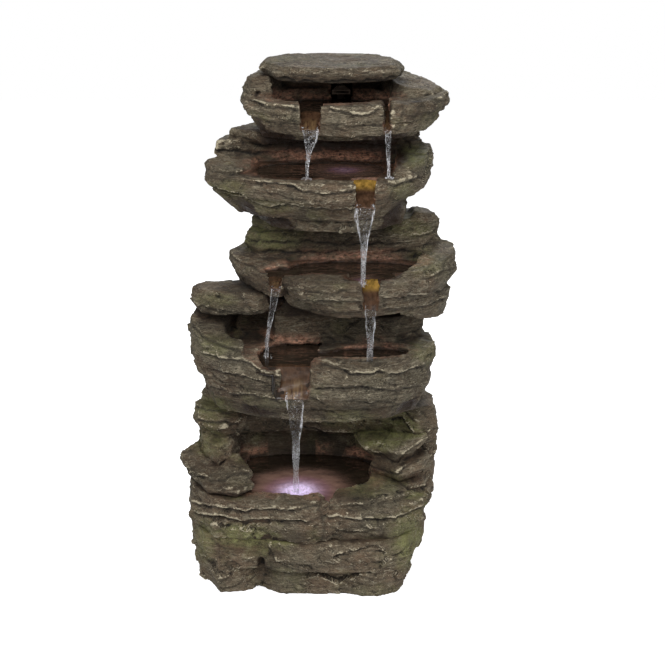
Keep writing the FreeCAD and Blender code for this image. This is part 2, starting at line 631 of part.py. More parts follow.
def reservoir():
    bottom = slab([(-246, -42), (-232, -106), (-190, -182), (-146, -174), (-116, -160),
                   (-88, -172), (-69, -184), (-10, -181), (58, -178), (98, -194), (127, -192),
                   (164, -176), (178, -152), (196, -84), (206, 0), (200, 92), (150, 150),
                   (20, 172), (-120, 166), (-215, 110), (-245, 40)],
                  0.0, 68.0, 71, under=7, over=3, brow=0.7)
    top = slab([(-246, -60), (-242, -102), (-216, -168), (-150, -192), (-106, -196), (-90, -207),
                (-27, -216), (60, -214), (122, -207), (182, -180), (213, -102), (217, -20),
                (212, 92), (150, 160), (20, 177), (-120, 173), (-222, 116), (-249, 20)],
               60.0, pool_seat, 72, under=12, over=4)
    rock = trimmed(united([bottom, top]), 0.0, pool_seat)
    well = [(-222, -30), (-206, -98), (-166, -148), (-110, -142), (-60, -156), (60, -156), (122, -168),
            (154, -146), (178, -76), (186, 0), (180, 84), (134, 136), (16, 152), (-110, 148),
            (-196, 100), (-222, 40)]
    rock = rock.cut(bowl(well, reservoir_floor, pool_seat + 1, 0.02))
    cleft = skin([[Vector(-118, -240, 52), Vector(-104, -240, 40), Vector(-88, -240, 58),
                   Vector(-96, -240, 102), Vector(-112, -240, 98)],
                  [Vector(-104, -168, 66), Vector(-102, -168, 62), Vector(-98, -168, 68),
                   Vector(-100, -168, 84), Vector(-103, -168, 82)]])
    arch = skin([[Vector(-134, -240, -1), Vector(-76, -240, -1), Vector(-92, -240, 12),
                  Vector(-118, -240, 12)],
                 [Vector(-116, -150, -1), Vector(-98, -150, -1), Vector(-102, -150, 3),
                  Vector(-112, -150, 3)]])
    return gland_seat(rock.cut(cleft).cut(arch))


def left_ledge():
    s = pool_seat
    upper = slab([(-266, -60), (-250, -94), (-204, -142), (-134, -154), (-120, -112), (-146, -66),
                  (-176, -60), (-228, -20)], s + 88, s + 114, 81, under=7, over=4, lean=(0.0, 0.34))
    lower = slab([(-240, -84), (-204, -166), (-142, -176), (-112, -150), (-126, -112),
                  (-184, -66)], s + 80, s + 94, 82, under=6, over=2)
    return united([upper, lower])


def right_ledge():
    s = pool_seat
    top = slab([(72, -14), (96, -64), (158, -116), (200, -94), (224, -56), (214, 0), (150, 30),
                (92, 24)], s + 112, s + 154, 83, under=26, over=8, brow=0.72, lean=(0.10, 0.06))
    tip = slab([(104, -72), (160, -124), (214, -94), (228, -50), (184, -30), (122, -40)],
               s + 82, s + 114, 84, under=14, over=6, lean=(0.12, 0.08))
    return united([top, tip])


# Door

def magnet_places():
    inset = door_lip / 2
    side = door_half_width - inset
    return [(sx * side, z) for sx in (-1, 1) for z in (door_bottom + 30, door_top - 30)]


def magnet_seat(x, z, face, way):
    front, back = sorted((face, face + way * magnet_depth))
    return rod_y(front, back, x, z, magnet_diameter)


def door_plate():
    face = back_face - door_rebate + seal_thickness
    half, low, high = door_half_width - door_gap, door_bottom + door_gap, door_top - door_gap
    plate = block((-half, face, low), (half, face + door_thickness, high))
    for k, (left, right, bottom, top, proud) in enumerate([
            (-0.92, 0.30, 0.06, 0.30, 5), (-0.40, 0.94, 0.26, 0.52, 8),
            (-0.94, 0.52, 0.48, 0.74, 6), (-0.20, 0.92, 0.70, 0.94, 7)]):
        height = high - low
        points = [(left * half, low + bottom * height), (right * half, low + (bottom + 0.03) * height),
                  (right * half * 0.97, low + (top - 0.02) * height), (left * half * 0.95, low + top * height)]
        start = face + door_thickness - 1
        near = [Vector(x, start, z) for x, z in points]
        cx, cz = middle(points)
        far = [Vector(cx + 0.94 * (x - cx), start + 1 + proud, cz + 0.8 * (z - cz)) for x, z in points]
        plate = plate.fuse(skin([near, far]))
    recess = block((-lift_recess_width / 2, face + door_thickness - lift_recess_depth, low - 1),
                   (lift_recess_width / 2, face + door_thickness + 10, low + lift_recess_depth))
    plate = plate.cut(recess)
    for x, z in magnet_places():
        plate = plate.cut(magnet_seat(x, z, face, 1))
    return plate.removeSplitter()


def door_seal():
    face = back_face - door_rebate
    half, low, high = door_half_width - door_gap, door_bottom + door_gap, door_top - door_gap
    ring = block((-half, face, low), (half, face + seal_thickness, high))
    inside = door_lip - door_gap
    ring = ring.cut(block((-half + inside, face - 1, low + inside),
                          (half - inside, face + seal_thickness + 1, high - inside)))
    for x, z in magnet_places():
        ring = ring.cut(rod_y(face - 1, face + seal_thickness + 1, x, z, magnet_diameter - 1))
    return ring


# Pump

motor_left = pump_x
pump_z = reservoir_floor + foot_height + motor_height / 2
volute_left = motor_left - volute_depth - volute_wall
volute_outer = volute_diameter + 2 * volute_wall
rotor_right = motor_left + rotor_length
bore_right = rotor_right + end_clearance
shaft_left = volute_left + volute_wall - bush_length / 2
shaft_right = bore_right + bush_length


def motor_body():
    body = block((motor_left, pump_y - motor_width / 2, pump_z - motor_height / 2),
                 (motor_left + motor_length, pump_y + motor_width / 2, pump_z + motor_height / 2))
    body = body.makeChamfer(motor_chamfer, body.Edges)
    flange = rod_x(motor_left, motor_left + 5, pump_y, pump_z, volute_outer)
    body = body.fuse(flange)
    body = body.cut(rod_x(motor_left - 1, bore_right, pump_y, pump_z, rotor_diameter + 2 * rotor_clearance))
    body = body.cut(rod_x(bore_right - 1, bore_right + bush_length, pump_y, pump_z, bush_diameter))
    groove = rod_x(motor_left - 1, motor_left + ring_section / 2, pump_y, pump_z, ring_middle() + ring_section)
    groove = groove.cut(rod_x(motor_left - 1, motor_left + ring_section, pump_y, pump_z,
                              ring_middle() - ring_section))
    body = body.cut(groove)
    for x, y in foot_places():
        body = body.cut(rod(x, y, pump_z - motor_height / 2, pump_z - motor_height / 2 + 3, 4.0))
    fins = [block((motor_left + 12 + k * 6, pump_y - motor_width / 2 - 1.5, pump_z - 14),
                  (motor_left + 14.5 + k * 6, pump_y - motor_width / 2 + 1, pump_z + 14)) for k in range(5)]
    return body.multiFuse(fins).removeSplitter()


def ring_middle():
    return (volute_diameter + volute_outer) / 2


def volute():
    left, right = volute_left, motor_left
    case = rod_x(left, right, pump_y, pump_z, volute_outer)
    column = rod((left + right) / 2, pump_y, pump_z, pump_z + motor_height / 2 + outlet_rise,
                 outlet_bore + 2 * outlet_wall)
    case = case.fuse(column)
    case = case.cut(rod_x(left + volute_wall, right + 1, pump_y, pump_z, volute_diameter))
    case = case.cut(rod((left + right) / 2, pump_y, pump_z, pump_z + motor_height, outlet_bore))
    case = case.cut(rod_x(left - 1, left + volute_wall + 1, pump_y, pump_z, eye_diameter))
    hub = rod_x(left, left + volute_wall + 1, pump_y, pump_z, bush_diameter + 2)
    arm = 2.4
    spider = [block((left, pump_y - eye_diameter / 2 - 1, pump_z - arm / 2),
                    (left + volute_wall, pump_y + eye_diameter / 2 + 1, pump_z + arm / 2)),
              block((left, pump_y - arm / 2, pump_z - eye_diameter / 2 - 1),
                    (left + volute_wall, pump_y + arm / 2, pump_z + eye_diameter / 2 + 1))]
    case = case.multiFuse([hub] + spider)
    return case.cut(rod_x(shaft_left, left + volute_wall + 2, pump_y, pump_z, bush_diameter)).removeSplitter()


def o_ring():
    """Half of the ring's section, which the volute squeezes flat against the motor."""
    right = motor_left + ring_section / 2 - 0.25
    outer, inner = ring_middle() + ring_section - 0.5, ring_middle() - ring_section + 0.5
    ring = rod_x(motor_left, right, pump_y, pump_z, outer)
    return ring.cut(rod_x(motor_left - 1, right + 1, pump_y, pump_z, inner))


def bushes():
    pieces = []
    for left in (shaft_left, bore_right):
        bush = rod_x(left, left + bush_length, pump_y, pump_z, bush_diameter)
        pieces.append(bush.cut(journal(left - 1, left + bush_length + 1, pump_y, pump_z, shaft_diameter)))
    return Part.makeCompound(pieces)


def impeller():
    left = shaft_left + bush_length + end_clearance
    magnet = rod_x(motor_left, rotor_right, pump_y, pump_z, rotor_diameter)
    hub = rod_x(left, motor_left + 1, pump_y, pump_z, shaft_diameter + 5)
    disc = rod_x(motor_left - 2.6, motor_left - 0.6, pump_y, pump_z, impeller_diameter)
    blades = []
    inner, outer = shaft_diameter / 2 + 1.5, impeller_diameter / 2
    for k in range(impeller_blades):
        blade = block((motor_left - 2.0 - blade_height, -blade_thickness / 2, inner),
                      (motor_left - 2.0, blade_thickness / 2, outer - 0.4))
        blade.rotate(Vector(0, 0, (inner + outer) / 2), Vector(1, 0, 0), 24)
        blade.rotate(Vector(), Vector(1, 0, 0), 360.0 * k / impeller_blades)
        blade.translate(Vector(0, pump_y, pump_z))
        blades.append(blade)
    wheel = magnet.multiFuse([hub, disc] + blades)
    trim = rod_x(motor_left - 2.0 - blade_height, rotor_right, pump_y, pump_z, impeller_diameter)
    wheel = wheel.common(trim.fuse(hub))
    bore = journal(left - 1, rotor_right + 1, pump_y, pump_z, shaft_diameter + 2 * shaft_clearance)
    return wheel.cut(bore).removeSplitter()


strainer_left = volute_left - strainer_depth


def strainer():
    half = volute_outer / 2 + strainer_wall + 1
    top = pump_z + motor_height / 2 - strainer_step
    outside = block((strainer_left, pump_y - half, pump_z - motor_height / 2),
                    (motor_left - 1, pump_y + half, top))
    inside = block((strainer_left + strainer_wall, pump_y - half + strainer_wall,
                    pump_z - motor_height / 2 + strainer_wall),
                   (motor_left, pump_y + half - strainer_wall, top - strainer_wall))
    outside = outside.makeChamfer(strainer_wall, [e for e in outside.Edges if abs(e.tangentAt(0).x) > 0.9])
    shell = outside.cut(inside)
    shell = shell.cut(rod((volute_left + motor_left) / 2, pump_y, pump_z, pump_z + motor_height,
                          outlet_bore + 2 * outlet_wall))
    rear = rod_x(motor_left - 2 - strainer_wall, motor_left - 1, pump_y, pump_z, volute_outer)
    shell = shell.cut(rear)
    for side in (-1, 1):
        for k in range(3):
            x = strainer_left + 4 + k * slot_pitch
            y = pump_y + side * half
            shell = shell.cut(block((x, y - 4, pump_z - 15), (x + slot_width, y + 4, pump_z + 13)))
    for turn in (0, 180):
        shell = shell.cut(window(strainer_left - 1, strainer_left + strainer_wall + 1, turn))
    return shell.cut(journal(strainer_left - 1, strainer_left + strainer_wall + 1, pump_y, pump_z,
                             dial_pivot + 2 * dial_clearance)).removeSplitter()


def window(left, right, turn):
    """A quarter-ring opening about the dial's axis."""
    inner, outer = dial_pivot / 2 + 2.5, dial_diameter / 2 - 2.0
    ring = rod_x(left, right, pump_y, pump_z, 2 * outer).cut(rod_x(left - 1, right + 1, pump_y, pump_z, 2 * inner))
    wedge = prism([(0, 0), (40, -30), (40, 30)], left, right)
    wedge.rotate(Vector(), Vector(0, 1, 0), 90)
    wedge.translate(Vector(0, pump_y, pump_z))
    wedge.rotate(Vector(0, pump_y, pump_z), Vector(1, 0, 0), turn + 90)
    return ring.common(wedge)


def flow_dial():
    right = strainer_left - 0.3
    left = right - dial_thickness
    dial = rod_x(left, right, pump_y, pump_z, dial_diameter)
    pivot = journal(right - 0.5, strainer_left + strainer_wall + 0.4, pump_y, pump_z, dial_pivot)
    snap = rod_x(strainer_left + strainer_wall + 0.3, strainer_left + strainer_wall + 2, pump_y, pump_z,
                 dial_pivot + 1.6)
    grip = block((left - dial_grip_height, pump_y - 2, pump_z - dial_diameter / 2 + 1),
                 (left + 1, pump_y + 2, pump_z + dial_diameter / 2 - 1))
    dial = dial.multiFuse([pivot, snap, grip])
    for turn in (0, 180):
        dial = dial.cut(window(left - 1, right + 0.1, turn))
    return dial.removeSplitter()


def foot_places():
    inset = 9.0
    return [(motor_left + x, pump_y + y) for x in (inset, motor_length - inset)
            for y in (-motor_width / 2 + inset, motor_width / 2 - inset)]


def suction_feet():
    feet = []
    r = foot_diameter / 2
    neck, plug = 3.2, 2.0
    profile = [(0, foot_height / 2), (r, 0), (neck, foot_height - 2), (neck, foot_height),
               (plug, foot_height), (plug, foot_height + 3), (0, foot_height + 3)]
    for x, y in foot_places():
        feet.append(turned(profile, x, y, reservoir_floor))
    return Part.makeCompound(feet)


# Riser

outlet_x = (volute_left + motor_left) / 2
outlet_top = pump_z + motor_height / 2 + outlet_rise
hose_start = outlet_top + adapter_collar
hose_top = tier_1_seat + tier_1_floor + 16
elbow_z = hose_top + adapter_collar + spout_bend + 10


def outlet_adapter():
    r = hose_bore / 2
    bore = outlet_bore / 2 - 1
    socket = outlet_bore / 2 + outlet_wall
    profile = [(socket, -8), (socket + 2.2, -8), (socket + 2.2, adapter_collar), (r - 0.6, adapter_collar),
               (r, adapter_collar + 4), (r - 0.8, adapter_collar + 5), (r, adapter_collar + 9),
               (r - 0.8, adapter_collar + 10), (r - 0.6, adapter_collar + barb_length),
               (bore, adapter_collar + barb_length), (bore, 0), (socket, 0)]
    return turned(profile, outlet_x, pump_y, outlet_top)


def riser_hose():
    points = [(outlet_x, pump_y, hose_start), (outlet_x, pump_y, hose_start + 66),
              (riser_x, riser_y, hose_start + 66 + 96), (riser_x, riser_y, hose_top)]
    return tube(points, hose_bend, hose_outer, hose_bore)


def hose_clamps():
    pieces = []
    for x, y, z in [(outlet_x, pump_y, hose_start + 5), (riser_x, riser_y, hose_top - 5 - clamp_width)]:
        band = rod(x, y, z, z + clamp_width, hose_outer + 2 * clamp_thickness)
        lug = block((x - 4, y - hose_outer / 2 - 6.4, z + 0.5), (x + 4, y - hose_outer / 2 - 0.4, z + clamp_width - 0.5))
        clamp = band.fuse(lug).cut(rod(x, y, z - 1, z + clamp_width + 1, hose_outer))
        pieces.append(clamp)
    return Part.makeCompound(pieces)


def grommets():
    pieces = []
    for seat in (tier_1_seat, tier_2_seat, tier_3_seat, tier_4_seat):
        bottom = seat + register_height + register_clearance
        bush = rod(riser_x, riser_y, bottom, bottom + grommet_height, well_bore)
        pieces.append(bush.cut(rod(riser_x, riser_y, bottom - 1, bottom + grommet_height + 1, hose_outer)))
    return Part.makeCompound(pieces)


def spout():
    r = hose_bore / 2
    barb = turned([(0, -barb_length), (r - 0.6, -barb_length), (r, -6), (r, 0),
                   (hose_outer / 2 + 1, 0), (hose_outer / 2 + 1, adapter_collar), (0, adapter_collar)],
                  riser_x, riser_y, hose_top)
    start = hose_top + adapter_collar
    path = [(riser_x, riser_y, start - 1), (riser_x, riser_y, elbow_z),
            (riser_x, riser_y - spout_bend - spout_length, elbow_z - 2)]
    elbow = tube(path, spout_bend, hose_bore + 3)
    end_y = riser_y - spout_bend - spout_length

    def mouth(y, half, low, high):
        return [Vector(riser_x - half, y, low), Vector(riser_x + half, y, low),
                Vector(riser_x + half, y, high), Vector(riser_x - half, y, high)]
    fan = skin([mouth(end_y + 12, 6, elbow_z - 7, elbow_z + 6), mouth(end_y - 18, 17, elbow_z - 7, elbow_z + 1)])
    slot = skin([mouth(end_y + 6, 3.5, elbow_z - 5, elbow_z + 3), mouth(end_y - 19, 15.2, elbow_z - 5.2, elbow_z - 0.8)])
    inner = tube(path, spout_bend, hose_bore - 3)
    below = rod(riser_x, riser_y, hose_top - barb_length - 1, start + 1, hose_bore - 3)
    return barb.multiFuse([elbow, fan]).cut(inner).cut(slot).cut(below).removeSplitter()


# Lights

def light_sites():
    return [(light_2, tier_2_seat + tier_2_floor), (light_3, tier_3_seat + tier_3_floor),
            (light_base, pool_seat + pool_floor_height)]


def light_bodies():
    pieces = []
    r, flange = light_diameter / 2, light_flange / 2
    seat = light_seal_thickness
    for (x, y), floor in light_sites():
        top = seat + light_flange_thickness
        profile = [(0, -light_height), (r, -light_height), (r, seat), (flange, seat), (flange - 1, top),
                   (lens_diameter / 2, top), (lens_diameter / 2, top - 2), (0, top - 2)]
        body = turned(profile, x, y, floor)
        tail = rod(x, y, floor - light_height - tail_length, floor - light_height + 1, tail_diameter)
        socket = rod(x, y, floor - light_height - tail_length - 1, floor - light_height - tail_length + 4,
                     lead_diameter + 2 * lead_clearance)
        pieces.append(body.fuse(tail).cut(socket).removeSplitter())
    return Part.makeCompound(pieces)


def light_lenses():
    pieces = []
    r = lens_diameter / 2
    for (x, y), floor in light_sites():
        base = light_seal_thickness + light_flange_thickness - 2
        dome = [(r * math.cos(a), base + 2 + lens_rise * math.sin(a)) for a in
                [math.radians(d) for d in (0, 32, 62)]]
        inside = [(max(p - lens_thickness, 0), h - lens_thickness) for p, h in reversed(dome)]
        profile = [(r, base)] + dome + [(0, base + 2 + lens_rise), (0, base + 2 + lens_rise - lens_thickness)]
        profile += inside[:-1] + [(r - lens_thickness, base)]
        pieces.append(turned(profile, x, y, floor))
    return Part.makeCompound(pieces)


def light_seals():
    pieces = []
    inner = light_diameter / 2
    outer = light_flange / 2 - 0.6
    for (x, y), floor in light_sites():
        profile = [(inner, 0), (outer, 0), (outer, light_seal_thickness), (inner, light_seal_thickness)]
        pieces.append(turned(profile, x, y, floor))
    return Part.makeCompound(pieces)


def light_leads():
    """Leads from the three lights to the junction, held by the lead passage."""
    top = junction_z + junction_size[2]
    wall_x = chamber_half_width - junction_size[0] / 2
    drop = tail_length + light_height - 4
    pieces = []
    runs = [(light_2, tier_2_seat + tier_2_floor, 3.0), (light_3, tier_3_seat + tier_3_floor, -3.0)]
    for (x, y), floor, across in runs:
        start = floor - drop
        low = start - lead_drop
        px, py = lead_x + across, lead_y
        end_y = junction_y + 16 + 20 * (across > 0)
        points = [(x, y, start), (x, y, low), (px, py, low - 1), (px, py, chamber_top - 26),
                  (wall_x, end_y, chamber_top - 50), (wall_x, end_y, top)]
        pieces.append(tube(points, lead_bend, lead_diameter, sides=lead_sides))
    x, y = light_base
    start = pool_seat + pool_floor_height - drop
    low = start - lead_drop
    points = [(x, y, start), (x, y, low), (wall_x, chamber_front + 10, low),
              (wall_x, junction_y + 4, low + 60), (wall_x, junction_y + 4, junction_z)]
    pieces.append(tube(points, lead_bend, lead_diameter, sides=lead_sides))
    return Part.makeCompound(pieces)


def junction():
    dx, dy, dz = junction_size
    box = block((chamber_half_width - dx, junction_y, junction_z), (chamber_half_width, junction_y + dy, junction_z + dz))
    return box.makeChamfer(3, [e for e in box.Edges if abs(e.tangentAt(0).x) > 0.9])


def gland_seat(rock):
    """Hole for the gland, spot-faced flat inside and out."""
    rock = rock.cut(rod_y(gland_inside - 30, back_face + 20, gland_x, gland_z, gland_thread))
    rock = rock.cut(rod_y(gland_outside, back_face + 20, gland_x, gland_z, gland_hex + 8))
    return rock.cut(rod_y(gland_inside - 30, gland_inside, gland_x, gland_z, gland_hex + 8))


def hexagon(front, back, x, z, across):
    r = across / math.sqrt(3)
    points = [(r * math.cos(math.radians(60 * k)), r * math.sin(math.radians(60 * k))) for k in range(6)]
    return skin([[Vector(x + px, y, z + pz) for px, pz in points] for y in (front, back)])


def cable_gland():
    outer = hexagon(gland_outside, gland_outside + 7, gland_x, gland_z, gland_hex)
    dome = rod_y(gland_outside + 7, gland_outside + 12, gland_x, gland_z, gland_thread + 2)
    thread = rod_y(gland_inside - gland_nut - 3, gland_outside, gland_x, gland_z, gland_thread)
    body = outer.multiFuse([dome, thread])
    return body.cut(rod_y(gland_inside - 30, gland_outside + 20, gland_x, gland_z, gland_bore)).removeSplitter()


def gland_nut_piece():
    nut = hexagon(gland_inside - gland_nut, gland_inside, gland_x, gland_z, gland_hex)
    return nut.cut(rod_y(gland_inside - 30, gland_inside + 1, gland_x, gland_z, gland_thread))


def feed_lead():
    """Lead from the junction down to the inner end of the gland."""
    wall_x = chamber_half_width - junction_size[0] / 2
    y = junction_y + 20
    points = [(wall_x, y, junction_z), (wall_x, y, gland_z + 41), (gland_x, y - 8, gland_z),
              (gland_x, gland_outside - 6, gland_z)]
    return tube(points, feed_bend, feed_diameter, sides=lead_sides)


def pump_lead():
    """Lead from the top of the motor up to the junction."""
    wall_x = chamber_half_width - junction_size[0] / 2
    x, top = motor_left + motor_length - 10, pump_z + motor_height / 2
    y = junction_y + junction_size[1] - 8
    points = [(x, pump_y, top), (x, pump_y, top + 44), (wall_x, y, top + 90), (wall_x, y, junction_z)]
    return tube(points, pump_lead_bend, pump_lead_diameter, sides=lead_sides)


def return_standpipe():
    """Overflow pipe that keeps the base pool at its level and lets the rest run back down."""
    floor = pool_seat + pool_floor_height
    pipe = rod(return_x, return_y, floor - floor_thickness, floor + return_height, return_bore)
    collar = rod(return_x, return_y, floor, floor + 3, return_bore + 8)
    pipe = pipe.fuse(collar)
    pipe = pipe.cut(rod(return_x, return_y, floor - 20, floor + return_height + 1, return_bore - 2 * return_wall))
    for turn in range(0, 180, 60):
        slot = block((-30, -1.5, floor + return_height - 12), (30, 1.5, floor + return_height - 2))
        slot.rotate(Vector(), Vector(0, 0, 1), turn)
        slot.translate(Vector(return_x, return_y, 0))
        pipe = pipe.cut(slot)
    return pipe.removeSplitter()


def door_magnets():
    face = back_face - door_rebate + seal_thickness
    return Part.makeCompound([magnet_seat(x, z, face, 1) for x, z in magnet_places()])


def frame_magnets():
    return Part.makeCompound([magnet_seat(x, z, back_face - door_rebate, -1) for x, z in magnet_places()])


def impeller_shaft():
    return journal(shaft_left, shaft_right, pump_y, pump_z, shaft_diameter)


def bedded(rock, host):
    """A loose rock cut back to the casting that it is bonded to."""
    return max(rock.cut(host).Solids, key=lambda solid: solid.Volume)


def castings():
    """The castings and the two ledge rocks bonded to them, each bedded against its neighbour."""
    tier_3_rock, pool_rock = tier_3(), pool_casting()
    return {"cap_stone": cap_stone(), "tier_1_casting": tier_1(), "tier_2_casting": tier_2(),
            "tier_3_casting": tier_3_rock, "tier_4_casting": tier_4().cut(tier_3_rock),
            "pool_casting": pool_rock, "reservoir_casting": reservoir(),
            "left_ledge_rock": bedded(left_ledge(), pool_rock),
            "right_ledge_rock": bedded(right_ledge(), pool_rock)}


def fittings():
    return {"access_door": door_plate(), "door_seal": door_seal(), "door_magnets": door_magnets(),
            "frame_magnets": frame_magnets(), "return_standpipe": return_standpipe(),
            "cable_gland": cable_gland(), "gland_nut": gland_nut_piece(),
            "junction_box": junction(), "feed_lead": feed_lead(), "pump_lead": pump_lead(),
            "light_bodies": light_bodies(), "light_lenses": light_lenses(),
            "light_seals": light_seals(), "light_leads": light_leads()}


def pump_and_riser():
    return {"pump_motor": motor_body(), "pump_volute": volute(), "pump_o_ring": o_ring(),
            "shaft_bushes": bushes(), "impeller_shaft": impeller_shaft(),
            "pump_impeller": impeller(), "pump_strainer": strainer(), "flow_dial": flow_dial(),
            "suction_feet": suction_feet(), "outlet_adapter": outlet_adapter(),
            "riser_hose": riser_hose(), "hose_clamps": hose_clamps(),
            "riser_grommets": grommets(), "spout": spout()}


os.makedirs("parts", exist_ok=True)
for group in (castings(), fittings(), pump_and_riser()):
    for name, shape in group.items():
        print(name, len(shape.Solids), "solids", round(shape.Volume), "mm3")
        shape.exportStep("parts/" + name + ".step")
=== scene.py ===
import itertools
import math
import random
from functools import cache

import bmesh
import bpy
import numpy as np
from bpy.props import FloatProperty, FloatVectorProperty, PointerProperty
from mathutils import Matrix, Vector
from mathutils.bvhtree import BVHTree


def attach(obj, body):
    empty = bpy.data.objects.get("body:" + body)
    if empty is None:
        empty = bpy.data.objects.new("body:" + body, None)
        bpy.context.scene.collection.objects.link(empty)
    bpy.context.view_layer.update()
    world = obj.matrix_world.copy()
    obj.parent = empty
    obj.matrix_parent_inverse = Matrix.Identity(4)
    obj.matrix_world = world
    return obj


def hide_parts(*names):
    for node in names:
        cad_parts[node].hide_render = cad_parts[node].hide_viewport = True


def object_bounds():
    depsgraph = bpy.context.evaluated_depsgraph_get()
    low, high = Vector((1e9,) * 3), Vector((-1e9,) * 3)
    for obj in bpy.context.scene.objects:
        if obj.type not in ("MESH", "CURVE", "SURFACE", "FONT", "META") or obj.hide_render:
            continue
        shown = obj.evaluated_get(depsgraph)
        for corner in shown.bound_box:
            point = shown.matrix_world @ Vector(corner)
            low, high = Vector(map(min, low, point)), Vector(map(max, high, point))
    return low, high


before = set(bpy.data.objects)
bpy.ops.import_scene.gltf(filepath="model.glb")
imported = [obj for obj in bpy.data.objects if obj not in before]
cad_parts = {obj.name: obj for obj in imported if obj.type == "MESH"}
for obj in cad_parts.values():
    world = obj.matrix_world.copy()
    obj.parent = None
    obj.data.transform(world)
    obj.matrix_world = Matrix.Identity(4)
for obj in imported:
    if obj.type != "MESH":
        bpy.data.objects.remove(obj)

bl_info = {
    "name": "Rock Cascade Fountain",
    "version": (1, 0, 0),
    "blender": (4, 5, 0),
    "location": "View3D > Sidebar > Fountain",
    "description": "Weathers the fountain's rock castings and adds its water, lights and setting",
    "category": "Object",
}

cad_low, cad_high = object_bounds()


# Sizes and colours

def colour(label, words, value):
    return FloatVectorProperty(name=label, description=words, default=value, size=3, min=0.0, max=1.0,
                               subtype="COLOR")


def length(label, words, value, most=0.5):
    return FloatProperty(name=label, description=words, default=value, min=0.0, max=most, unit="LENGTH",
                         precision=4)


class FountainRockSettings(bpy.types.PropertyGroup):
    mesh_step: length("Mesh step", "Edge length of the weathered rock's mesh", 0.0027)
    layer_height: length("Layer height", "Mean height of the slate layers", 0.0130)
    layer_depth: length("Layer depth", "How far one layer stands out from the next", 0.0016)
    chip_size: length("Chip size", "Width of the flat chips on broken faces", 0.042)
    chip_depth: length("Chip depth", "Height of the chips", 0.0030)
    stone: colour("Stone", "Grey-brown body of the rock", (0.096, 0.079, 0.051))
    stone_light: colour("Light stone", "Paler streaks in the rock", (0.190, 0.160, 0.108))
    stone_dark: colour("Dark stone", "Darker streaks in the rock", (0.040, 0.031, 0.021))
    stone_warm: colour("Warm stone", "Brown blotches", (0.122, 0.082, 0.050))
    # Ridges: dry-brushed paint on the edges, and painted highlight
    drybrush_and_highlight: colour("Ridges", "Dry-brushed edges", (0.47, 0.41, 0.29))
    # Crevices: painted shade in the recesses, under the ledges and in the cracks
    crevice_shade: colour("Crevices", "Dark wash in the recesses", (0.013, 0.010, 0.007))
    moss: colour("Moss", "Green tint", (0.165, 0.166, 0.062))
    rust: colour("Rust", "Mineral stain round the waterline", (0.620, 0.310, 0.200))
    silt: colour("Silt", "Brown bed of the pools", (0.030, 0.017, 0.010))


class FountainWaterSettings(bpy.types.PropertyGroup):
    pool_tint: colour("Pool tint", "Colour of the pool water", (0.018, 0.012, 0.008))
    fall_tint: colour("Fall tint", "Colour of the falling water", (0.88, 0.88, 0.90))
    amber: colour("Amber film", "Water film over the spillway lips", (0.36, 0.21, 0.045))
    # The pool lights' colour is also painted on the water as a glow
    glow: colour("Glow", "Colour of the pool lights", (0.80, 0.66, 1.0))
    glow_strength: FloatProperty(name="Glow strength", description="Brightness of the lit water",
                                 default=0.95, min=0.0, max=20.0)
    ripple: length("Ripple", "Height of the ripples on the pools", 0.0009)


class FountainStageSettings(bpy.types.PropertyGroup):
    focal_length: FloatProperty(name="Focal length", description="Lens of the camera", default=71.9,
                                min=20.0, max=200.0, unit="CAMERA")
    distance: length("Distance", "Distance of the camera in front of the fountain", 2.45, 10.0)
    height: length("Height", "Height of the camera", 1.30, 10.0)
    pitch: FloatProperty(name="Pitch", description="How far the camera looks down",
                         default=math.radians(18.64), subtype="ANGLE", unit="ROTATION")
    fill: FloatProperty(name="Fill light", description="Brightness of the surroundings", default=0.30,
                        min=0.0, max=5.0)


# Repeatable noise over arrays of points

def scatter(cells, seed):
    """A repeatable number from 0 to 1 for every whole-numbered cell."""
    h = (cells[:, 0] * 374761393 + cells[:, 1] * 668265263 + cells[:, 2] * 1440662683 + seed * 974634777)
    h = h & 0xFFFFFFFF
    h = ((h ^ (h >> 13)) * 1274126177) & 0xFFFFFFFF
    return ((h ^ (h >> 16)) & 0xFFFFFF) / 16777215.0


def noise(points, size, seed):
    """Smooth noise from -1 to 1; size is one length or one for each axis."""
    q = points / np.asarray(size, float)
    cell = np.floor(q).astype(np.int64)
    f = q - cell
    f = f * f * (3 - 2 * f)
    total = np.zeros(len(q))
    for corner in itertools.product((0, 1), repeat=3):
        weight = np.ones(len(q))
        for axis in range(3):
            weight *= f[:, axis] if corner[axis] else 1 - f[:, axis]
        total += weight * scatter(cell + np.array(corner), seed)
    return 2 * total - 1


def rough(points, size, seed, octaves=3):
    """Noise with finer noise added to it."""
    total, strength, whole = 0, 1.0, 0
    for k in range(octaves):
        total = total + strength * noise(points, np.asarray(size, float) / 2 ** k, seed + 17 * k)
        whole += strength
        strength *= 0.55
    return total / whole


def chipped(points, size, seed):
    """Height from -1 to 1 over a surface broken into flat, tilted chips."""
    q = points / np.asarray(size, float)
    home = np.floor(q).astype(np.int64)
    nearest = np.full(len(q), 1e9)
    height = np.zeros(len(q))
    for offset in itertools.product((-1, 0, 1), repeat=3):
        cell = home + np.array(offset)
        site = cell + np.stack([scatter(cell, seed + k) for k in range(3)], 1)
        away = q - site
        distance = (away ** 2).sum(1)
        tilt = np.stack([scatter(cell, seed + 3 + k) for k in range(3)], 1) * 2 - 1
        level = (away * tilt).sum(1) * 1.1 + scatter(cell, seed + 6) * 1.4 - 0.7
        closer = distance < nearest
        nearest = np.where(closer, distance, nearest)
        height = np.where(closer, level, height)
    return np.clip(height, -1, 1)


